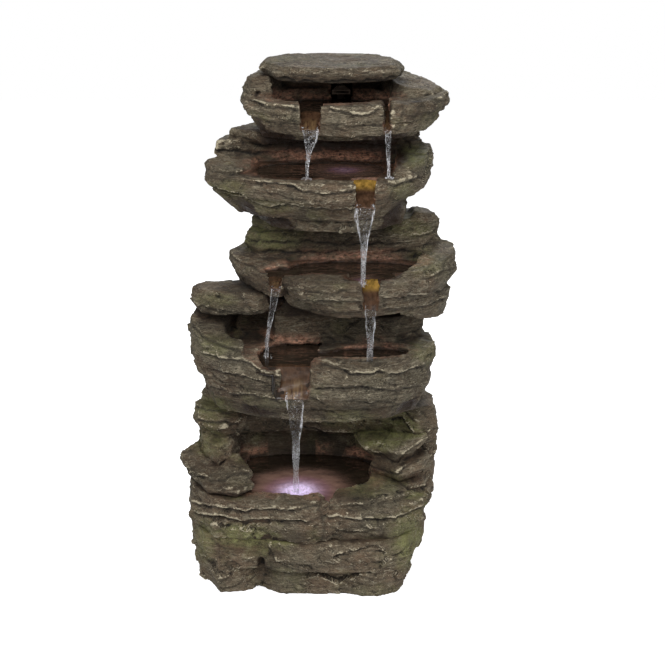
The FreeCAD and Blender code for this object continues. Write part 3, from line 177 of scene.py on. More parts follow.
def layered(points, height, seed):
    """Depth from -1 to 1 of slate layers that bend and split; each has its own outline."""
    level = points[:, 2] + 0.011 * noise(points, 0.13, seed) + 0.0035 * noise(points, 0.04, seed + 1)
    level = level + 0.16 * points[:, 0] * noise(points, 0.34, seed + 2)
    stack = level / height
    stack = stack + 0.35 * np.sin(stack * 2.1 + seed) + 0.2 * np.sin(stack * 0.9 + 2 * seed)
    layer = np.floor(stack)
    within = stack - layer

    def outline(which):
        flat = np.stack([points[:, 0], points[:, 1], which * 7.31], 1)
        broad = 0.65 * noise(flat, (0.085, 0.085, 1.0), seed + 5)
        return broad + 0.35 * noise(flat, (0.028, 0.028, 1.0), seed + 6)

    here, above = outline(layer), outline(layer + 1)
    blend = np.clip((within - 0.72) / 0.28, 0, 1)
    return here * (1 - blend) + above * blend - 0.28 * np.exp(-((within - 0.90) / 0.10) ** 2)


# Where the rock stays as cast, in metres

riser_axis, lead_axis = (0.050, 0.074), (0.085, 0.080)
chamber_box = ((-0.100, 0.050, 0.120), (0.100, 0.174, 0.330))
door_box = ((-0.090, 0.158, 0.136), (0.090, 0.200, 0.302))
riser_room, lead_room, light_room, drain_room, gland_room = 0.036, 0.012, 0.022, 0.026, 0.018
seats = (
    ((0.062, -0.040, 0.785), light_room),
    ((0.070, -0.084, 0.604), light_room),
    ((-0.034, -0.104, 0.140), light_room),
    ((-0.110, -0.016, 0.150), drain_room),
    ((0.040, 0.168, 0.109), gland_room),
)
# How far outside a seat the carving reaches its whole depth
round_off = 0.008

# Pools: water level, then the ovals that make up each, as middle and half sizes
pools = {
    "top": (0.921, ((0.032, -0.052, 0.112, 0.078),)),
    "second": (0.8035, ((0.012, -0.056, 0.124, 0.078),)),
    "third": (0.6225, ((0.072, -0.072, 0.122, 0.046), (0.104, -0.128, 0.044, 0.034),
                       (-0.048, -0.100, 0.046, 0.024))),
    "fourth": (0.4625, ((-0.058, -0.106, 0.064, 0.090), (0.104, -0.104, 0.076, 0.038),
                        (0.020, -0.111, 0.080, 0.021))),
    "base": (0.1930, ((-0.026, -0.060, 0.140, 0.100),)),
}
# At 2 the ovals would be round
squareness = 2.4

# Spillways: sides at the crest and at the lip, how far back each lies, and the floor's height at each
spillways = {
    "top_left": ((-0.025, 0.016), (-0.019, 0.009), -0.110, -0.176, 0.918, 0.894),
    "top_right": ((0.120, 0.138), (0.126, 0.134), -0.084, -0.172, 0.916, 0.892),
    "second": ((0.068, 0.114), (0.077, 0.104), -0.128, -0.204, 0.801, 0.761),
    "third_left": ((-0.088, -0.056), (-0.074, -0.062), -0.108, -0.164, 0.616, 0.610),
    "third_front": ((0.084, 0.122), (0.092, 0.112), -0.150, -0.208, 0.620, 0.578),
    "fourth": ((-0.088, 0.004), (-0.051, -0.016), -0.160, -0.216, 0.460, 0.406),
}

# Mossy patches: middle and radius in millimetres, and strength
moss_patches = (
    (172, -30, 285, 75, 1), (185, -40, 830, 55, 0.8), (-90, 0, 690, 70, 0.9), (-20, 0, 690, 60, 0.6),
    (180, 10, 700, 50, 0.6), (190, -130, 150, 75, 0.8), (-70, -200, 140, 70, 0.55),
    (-190, -60, 345, 70, 0.6), (-150, -150, 195, 60, 0.5), (-200, -100, 90, 80, 0.5),
    (90, 120, 500, 110, 0.6), (-120, 110, 230, 120, 0.7), (60, 110, 800, 100, 0.6),
)


def pool_reach(points, ovals):
    """Under 1 inside a pool's rounded-square ovals."""
    x, y = points[:, 0], points[:, 1]
    return np.min([(np.abs((x - cx) / rx) ** squareness + np.abs((y - cy) / ry) ** squareness)
                   ** (1 / squareness) for cx, cy, rx, ry in ovals], axis=0)


def smooth(value, low, high):
    t = np.clip((value - low) / (high - low), 0, 1)
    return t * t * (3 - 2 * t)


def outside_box(points, box, soft=0.006):
    """0 inside a box, rising to 1 a little way outside it."""
    low, high = (np.array(corner) for corner in box)
    gap = np.maximum(np.maximum(low - points, points - high), 0).max(1)
    return smooth(gap, 0, soft)


def away_from(points, place):
    return np.linalg.norm(points - np.array(place), axis=1)


def free_to_weather(points):
    """1 where the rock may be carved, 0 round seats, bores, lights and the door."""
    keep = np.ones(len(points))
    for (x, y), room in ((riser_axis, riser_room), (lead_axis, lead_room)):
        keep *= smooth(np.hypot(points[:, 0] - x, points[:, 1] - y), room, room + round_off)
    for box in (chamber_box, door_box):
        keep *= outside_box(points, box)
    for place, room in seats:
        keep *= smooth(away_from(points, place), room, room + round_off)
    return keep


def between(crest, lip, share):
    """Left and right side of a spillway at a share of the way from its crest to its lip."""
    return (crest[0] + share * (lip[0] - crest[0]), crest[1] + share * (lip[1] - crest[1]))


def spillway_floor(points, spillway):
    """Left side, right side and floor height of a spillway beside each point, and the share run through."""
    crest, lip, back, front, high, low = spillway
    share = np.clip((points[:, 1] - back) / (front - back), 0, 1.2)
    return *between(crest, lip, share), high + share * (low - high), share


def in_spillway(points):
    """1 on the floor and sides of a spillway."""
    wet = np.zeros(len(points))
    x, y, z = points.T
    for spillway in spillways.values():
        left, right, floor, _ = spillway_floor(points, spillway)
        back, front = spillway[2:4]
        inside = smooth(x, left - 0.003, left + 0.002) * (1 - smooth(x, right - 0.002, right + 0.003))
        inside *= (1 - smooth(y, back, back + 0.012)) * smooth(y, front - 0.020, front - 0.004)
        inside *= smooth(z, floor - 0.018, floor - 0.006) * (1 - smooth(z, floor + 0.006, floor + 0.018))
        wet = np.maximum(wet, inside)
    return wet


# Broken edges across the front of each rock. Each is a run of places in the front view, right and down
# in turn, then how far the edge stands out and how far the rock under it is cut back in millimetres,
# the height of that cut in the view, and how strong the painted highlight along the edge is; the cut also
# sets the painted shadow under the edge.
ledge_lines = {"cap_stone": (
    ((258, 70, 270, 75, 300, 80, 322, 81, 345, 78, 375, 80, 400, 73), 0.6, 4, 12, 0.5),
    ((288, 66, 292, 72, 310, 75, 335, 68, 352, 69, 385, 73), 0.6, 1.6, 4, 0.7),
    ((300, 63, 318, 61, 345, 62), 0.3, 1, 3, 0.3),
), "tier_1_casting": (
    ((242, 93, 258, 102, 275, 106, 297, 108), 1.6, 2.4, 9, 0.9),
    ((324, 100, 334, 108, 346, 112, 362, 114, 372, 112, 381, 107), 1.8, 2.4, 8, 1),
    ((398, 99, 415, 98, 432, 96, 446, 99), 1.4, 2.2, 9, 0.7),
    ((330, 122, 350, 125, 378, 122), 0.5, 1.2, 6, 0.3),
    ((262, 119, 280, 122, 296, 120), 0.5, 1.2, 6, 0.3),
    ((403, 112, 420, 114, 436, 110), 0.6, 1.4, 6, 0.4),
), "tier_2_casting": (
    ((214, 146, 235, 150, 258, 151, 290, 151), 1.8, 3, 7, 0.5),
    ((206, 168, 222, 171, 245, 172), 1.2, 1.6, 7, 0.5),
    ((255, 182, 275, 181, 292, 184, 303, 192, 322, 194, 345, 191, 356, 187), 1.8, 3, 8, 0.9),
    ((208, 184, 226, 189, 244, 196, 262, 206, 285, 205, 303, 207, 330, 209, 356, 208), 1.6, 4.5, 9, 0.7),
    ((268, 193, 290, 197, 310, 200), 0.6, 1.4, 5, 0.5),
    ((250, 214, 266, 219, 290, 216, 312, 219, 340, 221), 1.4, 1, 5, 0.6),
    ((380, 180, 395, 183, 408, 181, 420, 174), 1.4, 2.4, 9, 0.6),
    ((388, 196, 402, 199, 413, 195), 0.8, 1.8, 6, 0.3),
    ((396, 150, 412, 153, 430, 151), 1.2, 2, 6, 0.6),
), "tier_3_casting": (
    ((250, 238, 280, 241, 310, 240, 345, 243, 400, 241), 1, 2.6, 5, 0.25),
    ((258, 249, 290, 251, 330, 250, 370, 252, 415, 249), 1, 2.6, 5, 0.3),
    ((246, 228, 270, 230, 300, 229), 1, 2, 5, 0.2),
    ((229, 254, 245, 262, 262, 270, 272, 279), 1, 2.2, 7, 0.7),
    ((288, 289, 300, 290, 325, 291, 345, 289, 360, 293), 1, 2, 5, 0.6),
    ((294, 299, 320, 299, 345, 300, 362, 301), 1.2, 2.2, 6, 0.7),
    ((303, 309, 325, 309, 345, 311, 362, 311), 0.8, 1.8, 5, 0.4),
    ((382, 297, 400, 298, 418, 295, 440, 288, 452, 280), 1.4, 2.4, 7, 0.8),
    ((384, 308, 405, 307, 425, 304, 446, 296), 1, 2, 6, 0.5),
    ((420, 277, 435, 273, 455, 266), 1, 2, 5, 0.7),
    ((410, 236, 425, 233, 436, 228), 0.8, 1.6, 5, 0.7),
), "tier_4_casting": (
    ((191, 299, 206, 306, 222, 311, 242, 312, 262, 309), 1.2, 2, 5, 0.5),
    ((214, 296, 232, 298, 250, 297), 0.6, 1.4, 5, 0.4),
    ((192, 322, 204, 334, 222, 344, 244, 350, 268, 352), 1.4, 2.6, 7, 0.5),
    ((201, 352, 222, 357, 245, 360, 270, 366, 284, 373), 1.4, 2.6, 7, 0.9),
    ((206, 369, 230, 374, 256, 376, 278, 381), 1, 2.4, 6, 0.4),
    ((212, 384, 232, 392, 256, 394, 282, 401), 1.4, 2, 6, 0.8),
    ((318, 353, 340, 356, 365, 358, 388, 355, 405, 349), 1.2, 1.8, 4, 0.7),
    ((319, 361, 336, 366, 350, 371, 368, 373, 386, 371), 2, 3.4, 8, 1),
    ((388, 374, 402, 371, 416, 368, 430, 360), 1.8, 3, 8, 0.9),
    ((314, 386, 340, 388, 372, 386, 400, 389, 418, 384), 1, 2.4, 7, 0.35),
    ((345, 399, 368, 401, 395, 402, 416, 400), 1.2, 1.4, 5, 0.5),
    ((412, 330, 422, 334, 430, 338), 1, 2, 5, 0.5),
), "pool_casting": (
    ((193, 404, 210, 409, 232, 411), 1.2, 2.4, 6, 0.4),
    ((196, 416, 214, 421, 238, 421), 1.2, 2.8, 6, 0.3),
    ((305, 424, 322, 430, 338, 438, 352, 448), 2.2, 3.4, 7, 0.7),
    ((262, 428, 290, 431, 330, 433), 1, 2.4, 6, 0.2),
    ((192, 501, 215, 506, 240, 510, 262, 511, 278, 508, 300, 508, 318, 503), 1.8, 2.4, 6, 0.9),
    ((194, 511, 215, 516, 240, 520, 270, 520, 310, 519), 1.8, 3, 7, 1),
    ((200, 528, 215, 537, 235, 543, 262, 550, 272, 556), 3, 5, 14, 0.6),
    ((276, 551, 290, 550, 304, 544, 330, 541), 2.4, 4.6, 10, 0.6),
    ((326, 516, 345, 517, 370, 519, 394, 518, 408, 510, 424, 504), 2.4, 2.4, 7, 1),
    ((330, 525, 345, 531, 362, 533, 380, 529), 0.8, 1.6, 5, 0.6),
    ((300, 543, 330, 542, 360, 545, 392, 546, 420, 540), 2, 4, 14, 0.3),
    ((400, 478, 412, 486, 428, 482), 1.2, 2.2, 6, 0.6),
    ((345, 504, 370, 503, 380, 494), 1, 1.8, 5, 0.5),
    ((404, 430, 418, 437, 428, 452), 1.4, 2, 6, 0.6),
), "reservoir_casting": (
    ((198, 555, 215, 559, 240, 560, 258, 558), 1.2, 0.6, 5, 0.6),
    ((320, 562, 345, 560, 370, 562, 398, 561), 0.6, 0.7, 4, 0.6),
    ((352, 573, 375, 574, 396, 571), 0.6, 0.7, 4, 0.6),
    ((392, 585, 402, 572, 408, 556), 0.6, 0.3, 4, 0.8),
), "left_ledge_rock": (
    ((180, 460, 190, 472, 203, 475, 214, 481, 230, 474, 250, 471), 1.6, 2, 5, 0.9),
    ((190, 448, 205, 444, 220, 438), 0.5, 1.2, 5, 0.4),
    ((212, 486, 232, 487, 252, 482), 1, 1.4, 4, 0.9),
), "right_ledge_rock": (
    ((354, 450, 366, 447, 382, 452, 394, 460), 1.4, 2.6, 5, 0.9),
    ((396, 462, 404, 452, 414, 444, 424, 440), 1.4, 2, 5, 0.8),
    ((362, 462, 380, 468, 398, 472, 412, 460), 1.2, 2, 5, 0.7),
    ((366, 434, 380, 431, 396, 426), 0.6, 1.2, 5, 0.5),
)}
# Cracks and upright corners between facets: places in the same view, and depth in millimetres
cracks = {"cap_stone": (
    ((322, 57, 336, 64, 340, 76), 0.8), ((283, 66, 300, 60), 0.6),
), "tier_1_casting": (
    ((296, 101, 292, 116, 296, 129), 1.6), ((400, 93, 404, 110, 399, 128), 2),
    ((341, 113, 337, 127), 1.2), ((424, 97, 418, 112, 408, 124), 1.4),
), "tier_2_casting": (
    ((288, 187, 293, 200, 284, 209), 1.4), ((322, 197, 317, 208), 1.2),
    ((243, 160, 230, 176, 216, 186), 1.6), ((396, 186, 388, 203, 378, 213), 2),
    ((256, 184, 270, 197), 1), ((404, 158, 392, 176), 1.8),
), "tier_3_casting": (
    ((262, 232, 254, 244), 1.6), ((330, 235, 338, 250), 1.2), ((303, 290, 312, 311), 1),
    ((430, 262, 418, 282, 404, 300), 1.8), ((388, 240, 394, 256), 1.6),
), "tier_4_casting": (
    ((222, 287, 240, 296), 0.8), ((232, 352, 226, 372, 236, 392), 1.2),
    ((345, 368, 340, 386, 352, 402), 1.4), ((392, 374, 398, 394, 392, 408), 1.6),
    ((262, 360, 268, 380), 1),
), "pool_casting": (
    ((322, 497, 318, 510, 325, 524, 322, 540), 2.6), ((228, 506, 220, 528, 230, 541), 1.4),
    ((376, 520, 384, 534, 372, 546), 1.4), ((226, 420, 238, 440), 2), ((410, 440, 418, 470), 2),
), "reservoir_casting": (
    ((266, 572, 262, 582, 258, 596), 2), ((352, 560, 360, 584), 0.7),
), "left_ledge_rock": (
    ((205, 448, 232, 462, 246, 468), 1), ((192, 458, 214, 472), 1),
), "right_ledge_rock": (
    ((392, 428, 378, 450), 1.4), ((406, 432, 396, 458), 1.4),
)}
# Patches brushed on in the same view, first painted shade with a darker tone, then moss: middle, half width
# and half height, and strength
painted_shade_washes = (
    (330, 81, 85, 7, 0.85), (330, 93, 80, 10, 0.45), (262, 84, 22, 8, 0.4), (300, 128, 60, 5, 0.5),
    (230, 200, 26, 6, 0.45), (300, 214, 70, 6, 0.6), (395, 200, 22, 8, 0.45), (300, 246, 90, 12, 0.65),
    (250, 285, 40, 14, 0.6), (330, 312, 60, 8, 0.45), (225, 306, 40, 6, 0.45), (240, 330, 40, 14, 0.6),
    (350, 332, 70, 12, 0.5), (240, 402, 40, 10, 0.55), (340, 410, 80, 10, 0.6), (300, 430, 60, 14, 0.55),
    (372, 470, 34, 16, 0.85), (352, 495, 26, 10, 0.75), (378, 457, 18, 8, 0.8), (247, 461, 9, 8, 0.9),
    (250, 545, 45, 10, 0.65), (300, 540, 40, 10, 0.5), (372, 540, 60, 8, 0.5), (266, 572, 12, 16, 0.6),
    (215, 485, 30, 6, 0.4), (268, 552, 20, 7, 0.7), (420, 108, 28, 12, 0.55), (228, 182, 30, 14, 0.35),
    (330, 280, 70, 16, 0.3), (235, 388, 40, 12, 0.35), (215, 468, 36, 16, 0.3),
)
moss_washes = (
    (376, 438, 30, 13, 1), (398, 428, 14, 8, 0.8), (412, 156, 18, 12, 0.8), (402, 190, 16, 10, 0.5),
    (268, 238, 32, 14, 0.8), (410, 228, 26, 12, 0.5), (408, 540, 18, 34, 0.9), (245, 535, 30, 12, 0.9),
    (212, 408, 24, 12, 0.6), (208, 440, 20, 16, 0.5), (215, 345, 22, 12, 0.5), (425, 350, 16, 16, 0.5),
    (225, 190, 26, 10, 0.5), (262, 206, 40, 8, 0.4), (425, 262, 20, 16, 0.4), (205, 540, 12, 24, 0.6),
    (350, 420, 30, 12, 0.4), (255, 118, 18, 8, 0.3), (365, 485, 40, 14, 0.45), (215, 300, 26, 8, 0.4),
)
# Places where the rock is pressed in or drawn out: middle, radius and move, in millimetres
presses = {"tier_4_casting": (
    ((-78, -188, 470), 30, (0, 4, -20)), ((-8, -198, 458), 22, (6, 4, -12)),
    ((215, -90, 430), 30, (6, 0, 0)),
), "tier_2_casting": (
    ((-60, -190, 760), 50, (0, 6, 0)), ((-205, -60, 800), 30, (-7, 0, 0)),
    ((-190, -80, 760), 22, (6, 4, 0)), ((170, -110, 770), 30, (-5, 6, 0)),
), "tier_1_casting": (
    ((-120, -110, 905), 26, (4, 6, 0)), ((185, -80, 905), 30, (6, -3, 0)),
    ((150, -160, 900), 16, (0, 7, 0)),
), "tier_3_casting": (
    ((-60, -170, 580), 30, (0, 6, 0)), ((190, -120, 600), 35, (6, -3, 0)),
), "pool_casting": (
    ((-100, -212, 150), 30, (0, 8, 0)), ((-160, -190, 150), 30, (0, 7, -3)),
    ((90, -212, 140), 40, (0, 7, 0)), ((22, -205, 190), 18, (0, 10, -4)),
    ((185, -110, 195), 35, (0, 4, -6)),
), "reservoir_casting": (
    ((-85, -178, 60), 20, (0, 10, 0)), ((-135, -180, 60), 35, (0, -7, 0)),
    ((60, -185, 55), 60, (0, -6, 0)),
), "left_ledge_rock": (
    ((-150, -160, 235), 30, (0, -4, 0)),
), "right_ledge_rock": (
    ((130, -120, 260), 26, (0, -5, 2)),
), "cap_stone": (
    ((-85, -150, 985), 22, (-4, 4, -2)), ((150, -110, 985), 22, (3, 3, 0)),
)}
# The front view: its width and height, the sensor in millimetres, and how far right the camera stands
frame_pixels = 665.0
sensor_width = 36.0
sight_x = 0.034


def front_view(points):
    """Where points land in the front view, right and down, and the unit direction to the camera."""
    stage = bpy.context.scene.fountain_stage
    c, s = math.cos(stage.pitch), math.sin(stage.pitch)
    to_point = points - np.array((sight_x, -stage.distance, stage.height))
    depth = to_point[:, 1] * c - to_point[:, 2] * s
    rise = to_point[:, 1] * s + to_point[:, 2] * c
    scale = stage.focal_length / sensor_width * frame_pixels
    right = frame_pixels / 2 + scale * to_point[:, 0] / depth
    down = frame_pixels / 2 - scale * rise / depth
    return right, down, -to_point / np.linalg.norm(to_point, axis=1)[:, None]


def wavy(strip, size, seed):
    return noise(strip, (size, 1.0, 1.0), seed)


def broken_edges(node, points, normals, seed):
    """Depth in metres, and painted highlight and painted shadow, from the node's broken edges and cracks.
    """
    depth, light, dark = (np.zeros(len(points)) for _ in range(3))
    right, down, sight = front_view(points)
    facing = smooth((normals * sight).sum(1), 0.05, 0.40)
    for k, (places, proud, cut, fade, edge_highlight) in enumerate(ledge_lines.get(node, ())):
        across, level = places[::2], places[1::2]
        strip = np.stack([right, np.full(len(right), 9.7 * k), np.zeros(len(right))], 1)
        waver = 1.6 * wavy(strip, 9.0, seed + 90) + 0.9 * wavy(strip, 3.5, seed + 91)
        below = down - np.interp(right, across, level) - waver
        begin, end = across[0], across[-1]
        within = smooth(right, begin - 5, begin + 4) * (1 - smooth(right, end - 4, end + 5)) * facing
        lip = np.exp(-(np.minimum(below, 0) / 3.4) ** 2) * (1 - smooth(below, 0.0, 1.4))
        under = smooth(below, 0.0, 1.6) * (1 - smooth(below, 0.35 * fade, fade))
        depth += 0.0013 * within * (proud * lip - cut * under)
        patchy = smooth(wavy(strip, 7.0, seed + 92) + 0.5 * wavy(strip, 2.6, seed + 93), -0.75, 0.5)
        # A painted highlight along the edge, and painted shadow under it
        edge = np.exp(-((below + 0.7) / 1.15) ** 2)
        light = np.maximum(light, within * edge_highlight * edge * patchy)
        shadow = smooth(below, 0.3, 1.5) * (1 - smooth(below, 1.8, 0.25 * fade + 3.0))
        dark = np.maximum(dark, within * min(1.0, cut / 3.2) * shadow)
    place = np.stack([right + 1.5 * noise(points, 0.012, seed + 95), down], 1)
    for places, groove in cracks.get(node, ()):
        corners = np.array(places, float).reshape(-1, 2)
        away = np.full(len(points), frame_pixels)
        for start, end in itertools.pairwise(corners):
            run = np.clip(((place - start) @ (end - start)) / ((end - start) @ (end - start)), 0, 1)
            away = np.minimum(away, np.hypot(*(place - start - run[:, None] * (end - start)).T))
        width = 1.2 + 0.5 * groove
        depth -= 0.001 * groove * facing * np.exp(-(away / width) ** 2)
        # Painted shade in the crack
        crack_shade = min(0.85, 0.25 + 0.15 * groove)
        dark = np.maximum(dark, crack_shade * facing * np.exp(-(away / (0.6 * width)) ** 2))
    return depth, light, dark


def brushed(points, normals, washes, seed):
    """Strength of the listed patches at each point that faces the front, with ragged borders."""
    right, down, sight = front_view(points)
    ragged = 0.35 * rough(points, (0.03, 0.03, 0.014), seed)
    strength = np.zeros(len(points))
    for across, level, half_width, half_height, most in washes:
        gap = np.hypot((right - across) / half_width, (down - level) / half_height) + ragged
        strength = np.maximum(strength, most * (1 - smooth(gap, 0.45, 1.25)))
    return strength * smooth((normals * sight).sum(1), -0.2, 0.1)


rock_nodes = ("cap_stone", "tier_1_casting", "tier_2_casting", "tier_3_casting", "tier_4_casting",
              "pool_casting", "reservoir_casting", "left_ledge_rock", "right_ledge_rock", "access_door")
# Past 200,000 triangles a piece's exported file would be thinned, so the rocks stay under that
most_triangles = 192000
# How far rays look for other rock, how many rays leave a point, and one point in how many is tried
sky_reach, sky_rays, sky_sample = 0.11, 14, 12
golden_turn = 2.399963


@cache
def rock_tree():
    """All the rocks as cast, for rays to hit."""
    bm = bmesh.new()
    for node in rock_nodes:
        bm.from_mesh(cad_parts[node].data)
    tree = BVHTree.FromBMesh(bm)
    bm.free()
    return tree


def enclosed(points, normals, near, seed):
    """Share of the sky that the other rocks hide from each point, spread from a sample of them."""
    draw = random.Random(seed)
    lots = []
    for k in range(sky_rays * 6):
        height = math.sqrt((k + 0.5) / (sky_rays * 6))
        turn = golden_turn * k
        flat = math.sqrt(1 - height * height)
        lots.append(Vector((flat * math.cos(turn), flat * math.sin(turn), height)))
    total, weight = np.zeros(len(points)), np.zeros(len(points))
    for index in draw.sample(range(len(points)), len(points) // sky_sample):
        normal = Vector(normals[index])
        start = Vector(points[index]) + normal * 0.004
        turned = normal.to_track_quat("Z", "Y")
        hidden = 0.0
        for ray in draw.sample(lots, sky_rays):
            place, _, _, distance = rock_tree().ray_cast(start, turned @ ray, sky_reach)
            if place is not None:
                hidden += 1 - 0.6 * distance / sky_reach
        total[index] = hidden / sky_rays
        weight[index] = 1.0
    for _ in range(9):
        total, weight = total + near.mean(total), weight + near.mean(weight)
    return total / np.maximum(weight, 1e-6)


# Mesh helpers

def made_mesh(name, bm):
    """A mesh from a bmesh, which is freed."""
    mesh = bpy.data.meshes.new(name)
    bm.to_mesh(mesh)
    bm.free()
    return mesh


def placed(name, mesh, look, body="root"):
    """A piece with one finish and slot that rides on a body."""
    mesh.materials.clear()
    mesh.materials.append(look)
    piece = bpy.data.objects.new(name, mesh)
    bpy.context.scene.collection.objects.link(piece)
    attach(piece, body)
    return piece


def smooth_shaded(mesh):
    mesh.polygons.foreach_set("use_smooth", np.ones(len(mesh.polygons), bool))


def copied(node):
    """A merged copy of a CAD node's mesh."""
    bm = bmesh.new()
    bm.from_mesh(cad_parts[node].data)
    bmesh.ops.remove_doubles(bm, verts=bm.verts, dist=1e-5)
    return made_mesh(node + "_surface", bm)


def modified(mesh, kind, **settings):
    """The mesh with one modifier applied to it."""
    holder = bpy.data.objects.new("modifier_holder", mesh)
    bpy.context.scene.collection.objects.link(holder)
    modifier = holder.modifiers.new(kind, kind)
    for name, value in settings.items():
        setattr(modifier, name, value)
    graph = bpy.context.evaluated_depsgraph_get()
    made = bpy.data.meshes.new_from_object(holder.evaluated_get(graph))
    bpy.data.objects.remove(holder)
    return made


def thinned(mesh):
    """The mesh with its flattest faces merged until it has no more triangles than a rock may have."""
    triangles = sum(len(face.vertices) - 2 for face in mesh.polygons)
    if triangles <= most_triangles:
        return mesh
    return modified(mesh, "DECIMATE", ratio=most_triangles / triangles)


def read_vectors(mesh, what):
    values = np.empty(len(mesh.vertices) * 3)
    mesh.vertices.foreach_get(what, values)
    return values.reshape(-1, 3)


class Neighbours:
    """Averages over a mesh's edges."""

    def __init__(self, mesh):
        ends = np.empty(len(mesh.edges) * 2, np.int32)
        mesh.edges.foreach_get("vertices", ends)
        ends = ends.reshape(-1, 2)
        self.count = len(mesh.vertices)
        self.a = np.concatenate([ends[:, 0], ends[:, 1]])
        self.b = np.concatenate([ends[:, 1], ends[:, 0]])
        self.valence = np.maximum(np.bincount(self.a, minlength=self.count), 1)

    def mean(self, values):
        if values.ndim == 1:
            return np.bincount(self.a, values[self.b], self.count) / self.valence
        return np.stack([self.mean(values[:, k]) for k in range(values.shape[1])], 1)


def write_values(mesh, **values):
    """Values for each point, from 0 to 1, that the finishes read."""
    for name, numbers in values.items():
        layer = mesh.attributes.new(name, "FLOAT", "POINT")
        layer.data.foreach_set("value", np.clip(numbers, 0, 1).astype(np.float32))


def averaged(points, near, rounds):
    for _ in range(rounds):
        points = near.mean(points)
    return points


